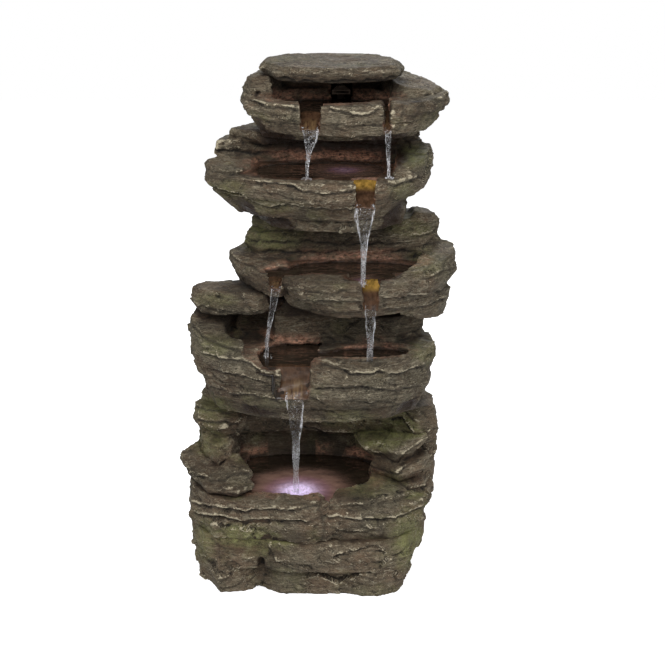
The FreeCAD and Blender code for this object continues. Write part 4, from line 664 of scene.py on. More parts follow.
def weathered(node, seed, layers=1.0, chips=1.0, body="root", shade=1.0, leaves=1.0):
    """Rock casting with slate layers and chips carved into it, and its paint kept as attributes."""
    rock = bpy.context.scene.fountain_rock
    mesh = modified(copied(node), "REMESH", mode="VOXEL", voxel_size=rock.mesh_step)
    near = Neighbours(mesh)
    points = read_vectors(mesh, "co")
    normals = read_vectors(mesh, "normal")
    # How much sky is hidden, which sets the painted shade and fades the painted highlights
    hidden = enclosed(points, normals, near, seed)
    free = free_to_weather(points)
    wet = in_spillway(points)
    side = np.hypot(normals[:, 0], normals[:, 1])
    hollow = ((averaged(points, near, 5) - points) * normals).sum(1)
    carve = free * (1 - 0.75 * wet)
    carve *= 1 - 0.85 * smooth(hollow, 0.0003, 0.0014)
    swirl = points + 0.012 * np.stack([noise(points, 0.05, seed + 40 + k) for k in range(3)], 1)
    here = smooth(noise(swirl, (0.12, 0.12, 0.06), seed + 50), -0.45, 0.35)
    there = smooth(noise(swirl, (0.10, 0.10, 0.05), seed + 51), -0.35, 0.35)
    slate = here * layered(points, rock.layer_height, seed)
    thin_slate = there * layered(swirl, 0.36 * rock.layer_height, seed + 7)
    lean = np.sign(noise(points, 0.16, seed + 8))[:, None]
    sloped = swirl + np.outer(swirl[:, 0], (0.0, 0.0, 0.4)) * lean
    big_chips = chipped(swirl, (1.9 * rock.chip_size, 1.9 * rock.chip_size, 1.2 * rock.chip_size), seed + 9)
    flat_chips = chipped(sloped, (rock.chip_size, rock.chip_size, rock.chip_size * 0.38), seed + 11)
    small_chips = chipped(sloped, (0.017, 0.017, 0.0065), seed + 23)
    depth = side * (layers * (rock.layer_depth * slate + 0.0010 * thin_slate)
                    + rock.chip_depth * chips * (0.55 * flat_chips + 1.1 * big_chips))
    depth += (1 - side) * (0.0008 * layers * slate + 0.0016 * chips * big_chips + 0.0008 * flat_chips)
    depth += 0.0009 * small_chips
    edges, light, dark = broken_edges(node, points, normals, seed)
    for middle, radius, move in presses.get(node, ()):
        gap = away_from(points, np.array(middle) / 1000) / (radius / 1000)
        points = points + (np.exp(-gap ** 2) * free)[:, None] * (np.array(move) / 1000)
    outward = normals.copy()
    outward[:, 2] *= 0.6
    points = points + outward * ((depth + edges) * carve)[:, None]
    if node == "reservoir_casting":
        points[:, 2] = np.maximum(points[:, 2], cad_low.z)
    mesh.vertices.foreach_set("co", points.ravel())
    mesh.update()
    paint(mesh, near, points, hidden, wet, light, dark, seed)
    smooth_shaded(mesh)
    piece = placed("weathered_" + node, thinned(mesh), stone_finish(shade, leaves), body)
    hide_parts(node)


def paint(mesh, near, points, hidden, wet, light, dark, seed):
    """Keep where a rock has edge wear with painted highlight, moss, rust and wet, and where painted shade
    lies in creases and recesses.
    """
    normals = read_vectors(mesh, "normal")
    up = np.clip(normals[:, 2], 0, 1)
    fine = ((points - near.mean(points)) * normals).sum(1) / bpy.context.scene.fountain_rock.mesh_step
    wide = ((points - averaged(points, near, 10)) * normals).sum(1)
    grain = rough(points, (0.020, 0.020, 0.0035), seed + 60)
    # Painted shade with a darker tone, from the listed shade patches
    washed_shade = brushed(points, normals, painted_shade_washes, seed + 75)
    # Edge wear and painted highlight, faded out in the painted shade
    wear = 0.56 * smooth(near.mean(fine) + 0.08 * grain, 0.08, 0.26)
    wear = wear + 0.32 * smooth(wide + 0.0005 * grain, 0.0016, 0.0038)
    wear = np.maximum(np.clip(wear, 0, 1), light)
    wear = wear * (1 - 0.85 * smooth(hidden, 0.18, 0.55)) * (1 - 0.7 * washed_shade)
    # Painted shade in the creases and under the ledges
    crease = smooth(-near.mean(fine), 0.03, 0.24) * 0.8 + smooth(-wide, 0.0008, 0.0042)
    crease = np.maximum(np.clip(crease, 0, 1), 0.9 * dark)
    moss = np.zeros(len(points))
    for *middle, radius, strength in moss_patches:
        gap = away_from(points, np.array(middle) / 1000)
        moss = np.maximum(moss, strength * (1 - smooth(gap, 0.35 * (radius / 1000), radius / 1000)))
    patchy = rough(points, 0.05, seed + 70)
    moss = smooth(moss * (0.55 + 0.45 * up) + 0.35 * patchy, 0.22, 0.85) + 0.25 * smooth(patchy, 0.15, 0.6)
    moss = np.maximum(moss, brushed(points, normals, moss_washes, seed + 76))
    rust, bed = np.zeros(len(points)), np.zeros(len(points))
    for level, ovals in pools.values():
        front_half = points[:, 1] < ovals[0][1] - 0.6 * ovals[0][3]
        inside = 1 - smooth(pool_reach(points, ovals), 1.12, 1.30)
        inside *= 1 - smooth((normals * (0, -1, 0)).sum(1) * front_half, 0.1, 0.5)
        rise = points[:, 2] - level
        band = smooth(rise, 0.001, 0.006) * (1 - smooth(rise, 0.012, 0.032))
        rust = np.maximum(rust, inside * band * (1 - 0.7 * up))
        under = (1 - smooth(rise, 0.003, 0.008)) * smooth(rise, -0.11, -0.09)
        bed = np.maximum(bed, inside * under)
    rust = rust * smooth(rough(points, (0.03, 0.03, 0.012), seed + 80), -0.55, 0.25)
    rust = np.maximum(rust, 0.35 * wet) * (1 - 0.75 * washed_shade)
    # The edge paint is wear with painted highlight; the crease paint and the shade are painted shade, where
    # rocks hide the sky and under the shade patches
    write_values(mesh, wear=wear * (1 - bed), crease=crease, moss=moss * (1 - bed), rust=rust,
                 wet=np.maximum(bed, 0.8 * wet), shade=np.maximum(smooth(hidden, 0.12, 0.62), washed_shade))


# Finishes

class Nodes:
    """A node tree, put together node by node."""

    def __init__(self, tree):
        self.tree = tree

    def add(self, kind, inputs=None, **settings):
        node = self.tree.nodes.new(kind)
        for key, value in settings.items():
            setattr(node, key, value)
        for key, value in (inputs or {}).items():
            self.feed(node.inputs[key], value)
        return node

    def feed(self, socket, value):
        if isinstance(value, bpy.types.NodeSocket):
            self.tree.links.new(value, socket)
        else:
            socket.default_value = value

    def maths(self, kind, first, *others):
        for value in others:
            first = self.add("ShaderNodeMath", {0: first, 1: value}, operation=kind).outputs[0]
        return first

    def times(self, *values):
        return self.maths("MULTIPLY", *values)

    def plus(self, *values):
        return self.maths("ADD", *values)

    def larger(self, *values):
        return self.maths("MAXIMUM", *values)

    def seen_through(self):
        """1 for what the camera sees straight or through water."""
        path = self.add("ShaderNodeLightPath")
        return self.larger(path.outputs["Is Camera Ray"], path.outputs["Is Transmission Ray"])


class Finish(Nodes):
    """A material."""

    def __init__(self, name):
        self.material = bpy.data.materials.new(name)
        self.material.use_nodes = True
        super().__init__(self.material.node_tree)
        self.surface = self.tree.nodes["Principled BSDF"]
        self.place = self.add("ShaderNodeTexCoord").outputs["Object"]

    def set(self, **values):
        for key, value in values.items():
            self.feed(self.surface.inputs[key.replace("_", " ")], value)

    def painted(self, name):
        return self.add("ShaderNodeAttribute", attribute_name=name).outputs["Fac"]

    def grain(self, scale, detail=3.0, roughness=0.6, stretch=(1, 1, 1), distortion=0.0):
        mapped = self.add("ShaderNodeMapping", {"Vector": self.place, "Scale": stretch})
        inputs = {"Vector": mapped.outputs[0], "Scale": scale, "Detail": detail, "Roughness": roughness,
                  "Distortion": distortion}
        return self.add("ShaderNodeTexNoise", inputs).outputs["Fac"]

    def span(self, value, low, high, to_low=0.0, to_high=1.0):
        return self.add("ShaderNodeMapRange", {"Value": value, "From Min": low, "From Max": high,
                                               "To Min": to_low, "To Max": to_high}).outputs[0]

    def vector(self, kind, a, b, output=0):
        return self.add("ShaderNodeVectorMath", {0: a, 1: b}, operation=kind).outputs[output]

    def mix(self, share, a, b, kind="MIX"):
        node = self.add("ShaderNodeMix", data_type="RGBA", blend_type=kind)
        self.feed(node.inputs[0], share)
        for socket, value in ((node.inputs[6], a), (node.inputs[7], b)):
            self.feed(socket, value if isinstance(value, bpy.types.NodeSocket) else (*value, 1.0))
        return node.outputs[2]

    def bump(self, height, strength, distance):
        bumped = self.add("ShaderNodeBump", {"Height": height, "Strength": strength, "Distance": distance})
        self.set(Normal=bumped.outputs[0])


def scaled(tint, factor):
    return tuple(min(1.0, c * factor) for c in tint)


def slate_leaves(f, spacing, bend, mask):
    """Thin slate leaves: their height, the painted highlight along their upper edges, the painted shadow at
    their feet.
    """
    height = f.add("ShaderNodeSeparateXYZ", {"Vector": f.place}).outputs["Z"]
    broad, tight = f.grain(6.0, 2.0, 0.5, (1.0, 1.0, 1.6)), f.grain(36.0, 3.0, 0.55, (1.0, 1.0, 2.5))
    stack = f.plus(f.times(height, 1 / spacing), f.times(broad, bend), f.times(tight, 0.3 * bend))
    rise = f.maths("FRACT", stack, 0.0)
    light = f.times(f.span(rise, 0.66, 0.90), f.span(rise, 1.0, 0.96))
    return f.times(rise, mask), f.times(light, mask), f.times(f.span(rise, 0.16, 0.02), mask)


def facets(f, size, stretch):
    """Flat tilted facets: their height, and how far each place is from where two meet."""
    scale = tuple(s / size for s in stretch)
    place = f.add("ShaderNodeMapping", {"Vector": f.place, "Scale": scale}).outputs[0]
    bend = f.add("ShaderNodeTexNoise", {"Vector": place, "Scale": 1.3, "Detail": 3.0})
    place = f.vector("ADD", place, bend.outputs["Color"])
    cells = f.add("ShaderNodeTexVoronoi", {"Vector": place, "Scale": 1.0})
    rim = f.add("ShaderNodeTexVoronoi", {"Vector": place, "Scale": 1.0}, feature="DISTANCE_TO_EDGE")
    away = f.vector("SUBTRACT", place, cells.outputs["Position"])
    tilt = f.vector("SUBTRACT", cells.outputs["Color"], (0.5, 0.5, 0.5))
    return f.vector("DOT_PRODUCT", away, tilt, "Value"), rim.outputs["Distance"]


@cache
def stone_finish(shade, leaves):
    """Painted stone resin; shade makes this copy of it lighter or darker all over, as painted light and
    shade, and leaves is how much slate shows.
    """
    rock = bpy.context.scene.fountain_rock
    f = Finish("weathered_stone_%d_%d" % (round(shade * 100), round(leaves * 100)))
    blotches = f.grain(9.0, 4.0)
    mottle = f.grain(45.0, 5.0, 0.62, (1.0, 1.0, 2.2), 0.6)
    streaks = f.grain(42.0, 6.0, 0.68, (1.0, 1.0, 7.0), 0.5)
    speckle = f.grain(520.0, 3.0, 0.75)
    scratches = f.grain(150.0, 5.0, 0.75, (1.0, 1.0, 5.0), 0.8)
    fine = f.grain(190.0, stretch=(1, 1, 3))
    shaded, wet = f.painted("shade"), f.painted("wet")
    patches = f.span(f.grain(16.0, stretch=(1.0, 1.0, 2.0)), 0.48, 0.66, 0.0, leaves)
    other_patches = f.span(f.grain(24.0, stretch=(1.0, 1.0, 2.0)), 0.40, 0.56, 0.0, leaves)
    broad_facets, broad_rim = facets(f, 0.030, (1.0, 1.0, 1.9))
    small_facets, small_rim = facets(f, 0.011, (1.0, 1.0, 2.2))
    thick, thick_light, thick_dark = slate_leaves(f, 0.0115, 8.0, patches)
    thin, thin_light, thin_dark = slate_leaves(f, 0.0044, 16.0, other_patches)

    def coats(body, *layers):
        for share, tint in layers:
            body = f.mix(share, body, scaled(tint, shade))
        return body

    # Painted highlights on facet rims, leaf edges and scratches, faded out in the painted shade
    rims = f.larger(f.times(f.span(broad_rim, 0.040, 0.010), f.span(fine, 0.44, 0.54)),
                    f.times(f.span(small_rim, 0.050, 0.010), f.span(mottle, 0.52, 0.60, 0.0, 0.55)))
    light = f.larger(f.times(thick_light, 0.60), f.times(thin_light, 0.50), f.times(rims, 0.42),
                     f.span(scratches, 0.580, 0.625, 0.0, 0.42))
    light = f.times(light, f.span(shaded, 0.0, 0.8, 1.0, 0.12), f.span(streaks, 0.36, 0.58, 0.25, 1.0))
    brushed_and_lit = f.plus(f.painted("wear"), f.span(fine, 0.36, 0.60, -0.30, 0.18))
    rust = f.times(f.painted("rust"), f.span(f.grain(150.0, 4.0, 0.7, (1, 1, 2)), 0.36, 0.60))
    body = f.mix(f.span(blotches, 0.38, 0.62), scaled(rock.stone, shade), scaled(rock.stone_warm, shade))
    body = coats(body, (f.span(mottle, 0.52, 0.68), rock.stone_light),
                 (f.span(streaks, 0.52, 0.30), rock.stone_dark))
    # Painted shade: the body is darkened where the paint called shade is
    body = f.mix(shaded, body, f.mix(1.0, body, (0.42, 0.35, 0.30), "MULTIPLY"))
    # Then moss, painted shadow at the leaves' feet, dark scratches, painted highlights, edge wear with
    # painted highlight, painted shade in creases, silt and rust
    body = coats(body, (f.times(f.painted("moss"), f.span(mottle, 0.32, 0.58, 0.30, 1.0)), rock.moss),
                 (f.larger(f.times(thick_dark, 0.80), f.times(thin_dark, 0.70)), rock.crevice_shade),
                 (f.span(scratches, 0.440, 0.385, 0.0, 0.65), rock.crevice_shade),
                 (light, rock.drybrush_and_highlight),
                 (f.span(brushed_and_lit, 0.38, 0.66, 0.0, 0.88), rock.drybrush_and_highlight),
                 (f.painted("crease"), rock.crevice_shade),
                 (wet, rock.silt),
                 (rust, rock.rust))
    speckled = f.mix(f.span(speckle, 0.30, 0.70), (0.50, 0.50, 0.50), (1.25, 1.25, 1.25))
    f.set(Base_Color=f.mix(1.0, body, speckled, "MULTIPLY"), Roughness=f.span(wet, 0.0, 1.0, 0.84, 0.30),
          Specular_IOR_Level=0.35)
    relief = f.plus(f.times(thick, 0.7), f.times(thin, 0.55), f.times(streaks, 1.5), f.times(speckle, 0.30),
                    f.times(broad_facets, 4.0), f.times(small_facets, 1.5))
    f.bump(relief, 0.9, 0.0024)
    return f.material


def plain_finish(name, tint, roughness, grain_scale=300.0, relief=0.25, variety=0.18, **extra):
    """Moulded, rubber or metal surface with fine grain and slight changes of tone."""
    f = Finish(name)
    grain, cloud = f.grain(grain_scale), f.grain(grain_scale * 0.12)
    paler = tuple(min(1.0, c * (1 + variety) + 0.01 * variety) for c in tint)
    f.set(Base_Color=f.mix(f.span(cloud, 0.35, 0.65), scaled(tint, 1 - variety), paler),
          Roughness=f.span(grain, 0.3, 0.7, roughness - 0.06, roughness + 0.06), **extra)
    f.bump(grain, relief, 0.0004)
    return f.material


@cache
def pool_finish():
    """Brown water with a painted glow: paler and lit where the paint called halo is, and lit where the
    paint called glow is.
    """
    water = bpy.context.scene.fountain_water
    f = Finish("pool_water")
    cloud = f.grain(26.0, 4.0, 0.6, (1.0, 2.0, 1.0))
    base = f.mix(f.span(cloud, 0.38, 0.66), water.pool_tint, scaled(water.pool_tint, 2.0))
    # A painted glow of the pool light on the water: a pale lit haze and flecks that shine
    glow_haze = f.times(f.painted("halo"), f.span(cloud, 0.34, 0.62, 0.55, 1.0))
    glow = f.painted("glow")
    glow_flecks = f.times(glow, f.span(f.grain(170.0, 4.0, 0.7, (1.0, 0.5, 1.0)), 0.34, 0.64, 0.45, 1.15))
    lit = f.mix(f.span(glow, 0.10, 0.75), (0.34, 0.17, 0.24), water.glow)
    lit = f.mix(f.span(glow, 0.02, 0.10), (0.40, 0.24, 0.19), lit)
    f.set(Base_Color=f.mix(glow_haze, base, (0.145, 0.082, 0.060)), Roughness=0.08, Specular_IOR_Level=0.4,
          Emission_Color=lit,
          Emission_Strength=f.plus(f.times(glow_flecks, water.glow_strength), f.times(glow_haze, 0.165)))
    f.bump(f.grain(60.0, 3.0, 0.55), 0.30, 0.0012)
    return f.material


@cache
def fall_finish():
    """Clear water with a painted highlight at its rims and painted glints, white in strands and towards its
    foot.
    """
    f = Finish("falling_water")
    strands = f.grain(430.0, 3.0, 0.6, (1.0, 1.0, 0.05), 0.3)
    glints = f.grain(620.0, 2.0, 0.6, (1.0, 1.0, 0.55))
    # The white at the rims is a painted highlight and the glints are painted glints; the strands and the
    # foot are white water
    white = f.larger(f.times(f.span(f.painted("rim"), 0.82, 0.98), f.span(strands, 0.44, 0.62, 0.0, 0.58)),
                     f.span(strands, 0.66, 0.74, 0.0, 0.8),
                     f.times(f.painted("froth"), f.span(glints, 0.58, 0.66)),
                     f.times(f.painted("tail"), f.span(strands, 0.45, 0.62, 0.02, 0.32)))
    f.set(Base_Color=(*bpy.context.scene.fountain_water.fall_tint, 1.0), Roughness=0.04,
          Transmission_Weight=f.span(white, 0.0, 1.0, 1.0, 0.25), IOR=1.12)
    f.bump(strands, 0.35, 0.0008)
    return f.material


@cache
def film_finish():
    """Thin water on the spillways: amber at some lips, dark and worn in the chutes."""
    amber = bpy.context.scene.fountain_water.amber
    f = Finish("spill_film")
    cloud = f.grain(130.0, 4.0, 0.65, (1.0, 0.6, 0.6))
    trails = f.grain(240.0, stretch=(1.0, 0.12, 0.12))
    lip = f.mix(f.span(cloud, 0.36, 0.62), scaled(amber, 0.35), amber)
    chute = f.mix(f.span(cloud, 0.34, 0.66), (0.030, 0.016, 0.009), (0.085, 0.045, 0.025))
    chute = f.mix(f.times(f.painted("worn"), f.span(trails, 0.40, 0.62)), chute, (0.130, 0.080, 0.038))
    f.set(Base_Color=f.mix(f.painted("amber"), chute, lip), Roughness=0.22, Specular_IOR_Level=0.3)
    f.bump(f.grain(170.0), 0.5, 0.0010)
    return f.material


def lens_finish():
    """The lit lenses of the pool lights."""
    glow = bpy.context.scene.fountain_water.glow
    f = Finish("lit_lens")
    f.set(Base_Color=f.mix(f.grain(900.0, 2.0, 0.5), (0.75, 0.72, 0.90), (0.92, 0.90, 1.0)), Roughness=0.15,
          Emission_Color=(*glow, 1.0), Emission_Strength=6.0)
    return f.material


def floor_finish():
    """A pale floor that looks white to the camera."""
    f = Finish("pale_floor")
    f.set(Base_Color=f.mix(f.grain(3.0, 2.0), (0.80, 0.80, 0.80), (0.83, 0.83, 0.83)), Roughness=0.9,
          Emission_Color=(1, 1, 1, 1), Emission_Strength=f.times(f.seen_through(), 0.78))
    return f.material


# Water shapes

def grid(across, rows, size=1.0):
    """A level square grid, as a bmesh."""
    bm = bmesh.new()
    bmesh.ops.create_grid(bm, x_segments=across, y_segments=rows, size=size)
    return bm


def face_up(bm):
    if sum(face.normal.z for face in bm.faces) < 0:
        bmesh.ops.reverse_faces(bm, faces=bm.faces)


def along(stations, share):
    """Station at a share of the way along the list, between its neighbours."""
    spot = share * (len(stations) - 1)
    k = min(int(spot), len(stations) - 2)
    return [a + (b - a) * (spot - k) for a, b in zip(stations[k], stations[k + 1])]


def stream(name, stations, froth, seed):
    """Sheet of falling water through (x, y, z, half width, half depth) stations, with thick rims."""
    draw = random.Random(seed)
    ridges = [(k + 2, draw.uniform(0, 6.28), draw.uniform(0.05, 0.12)) for k in range(3)]
    waves = [(draw.uniform(14, 34), draw.uniform(0, 6.28), draw.uniform(0.04, 0.10)) for _ in range(3)]
    bm = grid(stream_sides, stream_rows)
    for vert in bm.verts:
        turn = (vert.co.x + 1) * math.pi
        share = (vert.co.y + 1) / 2
        x, y, z, wide, deep = along(stations, share)
        swell = 1 + sum(size * math.cos(count * turn + phase + 5 * share) for count, phase, size in ridges)
        pulse = 0.6 * sum(size * math.sin(rate * share + phase) for rate, phase, size in waves)
        pulse = 1 + pulse * smooth(share, 0.1, 0.5)
        sway = 0.10 * wide * math.sin(9 * share + seed)
        rim = 0.30 + 0.70 * abs(math.cos(turn)) ** 2
        vert.co = (x + sway + wide * pulse * swell * math.cos(turn),
                   y + deep * rim * swell * math.sin(turn) * 1.3, z)
    bmesh.ops.remove_doubles(bm, verts=bm.verts, dist=1e-6)
    bmesh.ops.holes_fill(bm, edges=[e for e in bm.edges if e.is_boundary], sides=0)
    bmesh.ops.recalc_face_normals(bm, faces=bm.faces)
    mesh = made_mesh(name, bm)
    points = read_vectors(mesh, "co")
    rising = np.array(stations)[::-1]
    middle = np.interp(points[:, 2], rising[:, 2], rising[:, 0])
    wide = np.interp(points[:, 2], rising[:, 2], rising[:, 3])
    fallen = (stations[0][2] - points[:, 2]) / (stations[0][2] - stations[-1][2])
    write_values(mesh, rim=np.abs(points[:, 0] - middle) / wide,
                 froth=froth * (0.4 + 0.6 * smooth(fallen, 0.05, 0.85)), tail=smooth(fallen, 0.30, 0.62))
    smooth_shaded(mesh)
    placed(name, mesh, fall_finish())


def splash(name, x, y, z, seed):
    """Drops thrown up where a fall lands."""
    draw = random.Random(seed)
    bm = bmesh.new()
    for _ in range(splash_drops):
        turn, out = draw.uniform(0, 2 * math.pi), splash_reach * math.sqrt(draw.random())
        rise = splash_height * draw.random() * (1 - out / splash_reach * 0.6)
        size = draw.uniform(0.0006, 0.0017)
        spot = Matrix.Translation((x + out * math.cos(turn), y + 0.6 * out * math.sin(turn), z + rise))
        bmesh.ops.create_icosphere(bm, subdivisions=1, radius=size, matrix=spot)
    mesh = made_mesh(name, bm)
    full = np.ones(len(mesh.vertices))
    write_values(mesh, froth=full, rim=full, tail=full)
    smooth_shaded(mesh)
    placed(name, mesh, fall_finish())


def pool_surface(name, level, ovals, lit=None):
    """Sheet of rippled water out to the rock round a pool, bent down where it enters a spillway."""
    water = bpy.context.scene.fountain_water
    seed = round(level * 1000)
    low_x, low_y = (min(o[k] - o[k + 2] for o in ovals) - pool_spread for k in (0, 1))
    high_x, high_y = (max(o[k] + o[k + 2] for o in ovals) + pool_spread for k in (0, 1))
    bm = grid(round((high_x - low_x) / pool_step), round((high_y - low_y) / pool_step), 0.5)
    bmesh.ops.scale(bm, vec=(high_x - low_x, high_y - low_y, 1.0), verts=bm.verts)
    bmesh.ops.translate(bm, vec=((low_x + high_x) / 2, (low_y + high_y) / 2, level), verts=bm.verts)
    wider = [(cx, cy, rx + pool_spread, ry + pool_spread) for cx, cy, rx, ry in ovals]
    reach = pool_reach(np.array([vert.co for vert in bm.verts]), wider)
    bmesh.ops.delete(bm, geom=[vert for vert, r in zip(bm.verts, reach) if r > 1], context="VERTS")
    mesh = made_mesh(name, bm)
    points = read_vectors(mesh, "co")
    lift = noise(points, (0.016, 0.010, 1.0), seed) + 0.6 * noise(points, (0.007, 0.005, 1.0), seed + 1)
    lift = water.ripple * lift
    glow, halo = np.zeros(len(points)), np.zeros(len(points))
    # The glow of a pool light is painted on the water round it
    if lit:
        x, y, reach, strength = lit
        away = np.hypot(points[:, 0] - x, points[:, 1] - y)
        lift += 0.0014 * np.cos(away / 0.0032) * np.exp(-away / 0.022)
        glow = strength * np.exp(-(away / reach) ** 2)
        ragged = away + 0.008 * noise(points, 0.03, seed + 2)
        halo = strength * (1 - smooth(ragged, 1.8 * reach, 3.1 * reach))
    points[:, 2] += lift
    for spillway in spillways.values():
        left, right, floor, _ = spillway_floor(points, spillway)
        over = (points[:, 0] > left - 0.012) & (points[:, 0] < right + 0.012)
        over = over & (np.abs(floor - level) < 0.08)
        back = spillway[2] + 0.003 * noise(points, 0.008, seed + 3)
        draw_down = over * (1 - smooth(points[:, 1], back - 0.008, back + 0.016))
        lower = np.minimum(points[:, 2], floor + 0.0012)
        points[:, 2] += draw_down * (lower - points[:, 2])
    mesh.vertices.foreach_set("co", points.ravel())
    write_values(mesh, glow=glow, halo=halo)
    smooth_shaded(mesh)
    bm = bmesh.new()
    bm.from_mesh(mesh)
    face_up(bm)
    bmesh.ops.solidify(bm, geom=bm.faces[:], thickness=pool_thickness)
    bm.to_mesh(mesh)
    bm.free()
    placed("pool_" + name, mesh, pool_finish())


def spill_film(name, spillway, face, seed, amber):
    """Sheet of water from a pool through a spillway, out to the rock's face."""
    crest, lip, back, front, high, low = spillway
    bm = grid(film_sides, film_rows)
    phase = random.Random(seed).uniform(0, 6.28)
    start = back + film_start
    for vert in bm.verts:
        u, run = vert.co.x, (vert.co.y + 1) / 2
        y = start + run * (face - start)
        share = max((y - back) / (front - back), 0.0)
        left, right = between(crest, lip, share)
        left, right = left - film_overlap, right + film_overlap
        rise = 0.0024 * (1 - 0.6 * u * u) + 0.0006 * math.sin(9 * u + phase) * share
        rise += 0.0006 * math.sin(26 * run + 3 * u + phase) * share
        vert.co = ((left + right) / 2 + u * (right - left) / 2, y, high + share * (low - high) + rise)
    bmesh.ops.recalc_face_normals(bm, faces=bm.faces)
    face_up(bm)
    bmesh.ops.solidify(bm, geom=bm.faces[:], thickness=film_thickness)
    mesh = made_mesh(name, bm)
    points = read_vectors(mesh, "co")
    share = (back - points[:, 1]) / (back - front)
    left, right = between(crest, lip, share)
    from_middle = np.abs(points[:, 0] - (left + right) / 2) / ((right - left) / 2)
    worn = (1 - smooth(from_middle, 0.35, 0.80)) * smooth(share, 0.25, 0.5)
    long_enough = back - front > 0.05
    write_values(mesh, amber=amber * (1 - smooth(share, 0.16, 0.40)), worn=worn * long_enough * (1 - amber))
    smooth_shaded(mesh)
    placed(name, mesh, film_finish())


# Faces down and round a fall, and along and across a film
stream_rows, stream_sides = 90, 36
film_rows, film_sides = 40, 20
# Drops at the foot of a fall, how far out and up they go, and where they start above its end
splash_drops, splash_reach, splash_height, splash_start = 22, 0.010, 0.012, 0.004
# A pool's faces, how far it goes on into the rock, and the thickness of its sheet
pool_step, pool_spread, pool_thickness = 0.0026, 0.014, 0.0012
# How far in a film starts, how far it goes into the rock at each side, and its thickness
film_start, film_overlap, film_thickness = 0.014, 0.0015, 0.0016
# First seed of the films, falls and splashes
film_seed, fall_seed, splash_seed = 130, 200, 230

# How far forward the rock's face is under each spillway, where its fall starts
spill_faces = {"top_left": -0.168, "top_right": -0.160, "second": -0.196, "third_left": -0.160,
               "third_front": -0.203, "fourth": -0.208}

# Falls, from the lip down, in millimetres: x, y, z, half width and half depth
falls = {"top_left": (
    (-5, -158, 902.2, 12.8, 1.2), (-5, -169, 897.5, 13, 2), (-5, -172, 880, 9.8, 2.6),
    (-7, -169, 860, 5.2, 2.6), (-10, -159, 830, 2.7, 2.4), (-11, -144.5, 799.5, 2.6, 2.4),
), "top_right": (
    (130, -150, 899.8, 4.4, 1.2), (130, -161, 895, 4.8, 2), (131, -162, 875, 4.2, 2.2),
    (132, -154, 845, 3.2, 2.2), (133, -139.5, 800, 2.6, 2.2),
), "second": (
    (90.5, -186, 772.5, 14, 1.2), (90.5, -197.5, 765, 15, 2.2), (90, -202, 745, 12.8, 3.4),
    (89, -199, 718, 7.4, 3.4), (88, -192, 680, 4.6, 3.2), (88, -178.5, 619, 4.4, 3.2),
), "third_left": (
    (-68, -152, 613.5, 7, 1.2), (-68, -161.5, 610, 7.4, 2), (-72, -162, 585, 6, 2.6),
    (-81, -154, 545, 4.4, 2.4), (-87, -132, 500, 3.4, 2.4), (-88, -113, 458.5, 3.2, 2.4),
), "third_front": (
    (102, -194, 590.5, 9.8, 1.2), (102, -204.5, 583, 10.2, 2), (101, -207, 565, 8, 3),
    (101, -198, 530, 5.6, 2.8), (102, -180, 498, 4.8, 2.6), (103, -151.5, 459, 4.6, 2.6),
), "fourth": (
    (-34, -198, 425.5, 15, 1.2), (-34, -209.5, 415, 16, 2.2), (-34, -213, 395, 14, 3.6),
    (-34, -206, 350, 8, 3.6), (-34, -188, 300, 5.6, 3.4), (-35, -160, 240, 5, 3.2),
    (-35, -132.5, 189, 5, 3.2),
)}
# Falls whose painted glints show in full
sparkling = ("top_left", "top_right")
amber_lips = ("second", "third_front")

# Painted glow of the pool lights on the water: middle, reach and strength
lit_spots = {"second": (0.056, -0.046, 0.030, 0.20), "third": (0.086, -0.150, 0.016, 0.22),
             "base": (-0.033, -0.122, 0.040, 1.0)}


# Finishes of the fittings: tint, roughness, what else is set, and the nodes that have the finish
fitting_finishes = {
    "pump_moulding": ((0.020, 0.021, 0.023), 0.48, {}, ("pump_motor", "pump_volute", "pump_strainer",
                                                        "junction_box", "return_standpipe")),
    "stained_spout": ((0.150, 0.105, 0.075), 0.85, dict(grain_scale=160.0, relief=0.6, variety=0.4),
                      ("spout",)),
    "gland_nylon": ((0.024, 0.024, 0.026), 0.40, {}, ("cable_gland", "gland_nut")),
    "soft_rubber": ((0.018, 0.018, 0.018), 0.72, dict(grain_scale=500.0),
                    ("pump_o_ring", "light_seals", "riser_grommets", "suction_feet", "shaft_bushes")),
    "lead_jacket": ((0.014, 0.014, 0.015), 0.55, dict(grain_scale=700.0),
                    ("feed_lead", "pump_lead", "light_leads")),
    "closed_cell_foam": ((0.030, 0.030, 0.031), 0.92, dict(grain_scale=900.0, relief=0.8), ("door_seal",)),
    "brushed_band": ((0.55, 0.55, 0.56), 0.30, dict(grain_scale=900.0, relief=0.12, Metallic=1.0),
                     ("hose_clamps", "light_bodies")),
    "nickel_magnet": ((0.60, 0.59, 0.57), 0.22, dict(grain_scale=500.0, relief=0.05, Metallic=1.0),
                      ("door_magnets", "frame_magnets")),
    "white_moulding": ((0.62, 0.63, 0.65), 0.38, {}, ("pump_impeller", "outlet_adapter")),
    "ground_ceramic": ((0.70, 0.69, 0.66), 0.28, {}, ("impeller_shaft",)),
    "riser_tubing": ((0.055, 0.060, 0.060), 0.35, dict(grain_scale=200.0, Coat_Weight=0.3),
                     ("riser_hose",)),
    "dial_moulding": ((0.075, 0.077, 0.082), 0.42, {}, ("flow_dial",)),
}

# Soft lights: place and size in metres, and power in watts
soft_lights = {
    "softbox_above": ((-0.3, -2.1, 2.3), 1.8, 62.0),
    "softbox_left": ((-2.2, -1.2, 1.4), 1.2, 9.0),
    "softbox_right": ((2.0, -1.5, 1.0), 1.2, 17.0),
    "softbox_back": ((0.7, 2.4, 1.7), 1.6, 40.0),
}
lights_aim = Vector((0, 0, 0.5))
floor_size, floor_gap = 6.0, 0.0005


# Operators

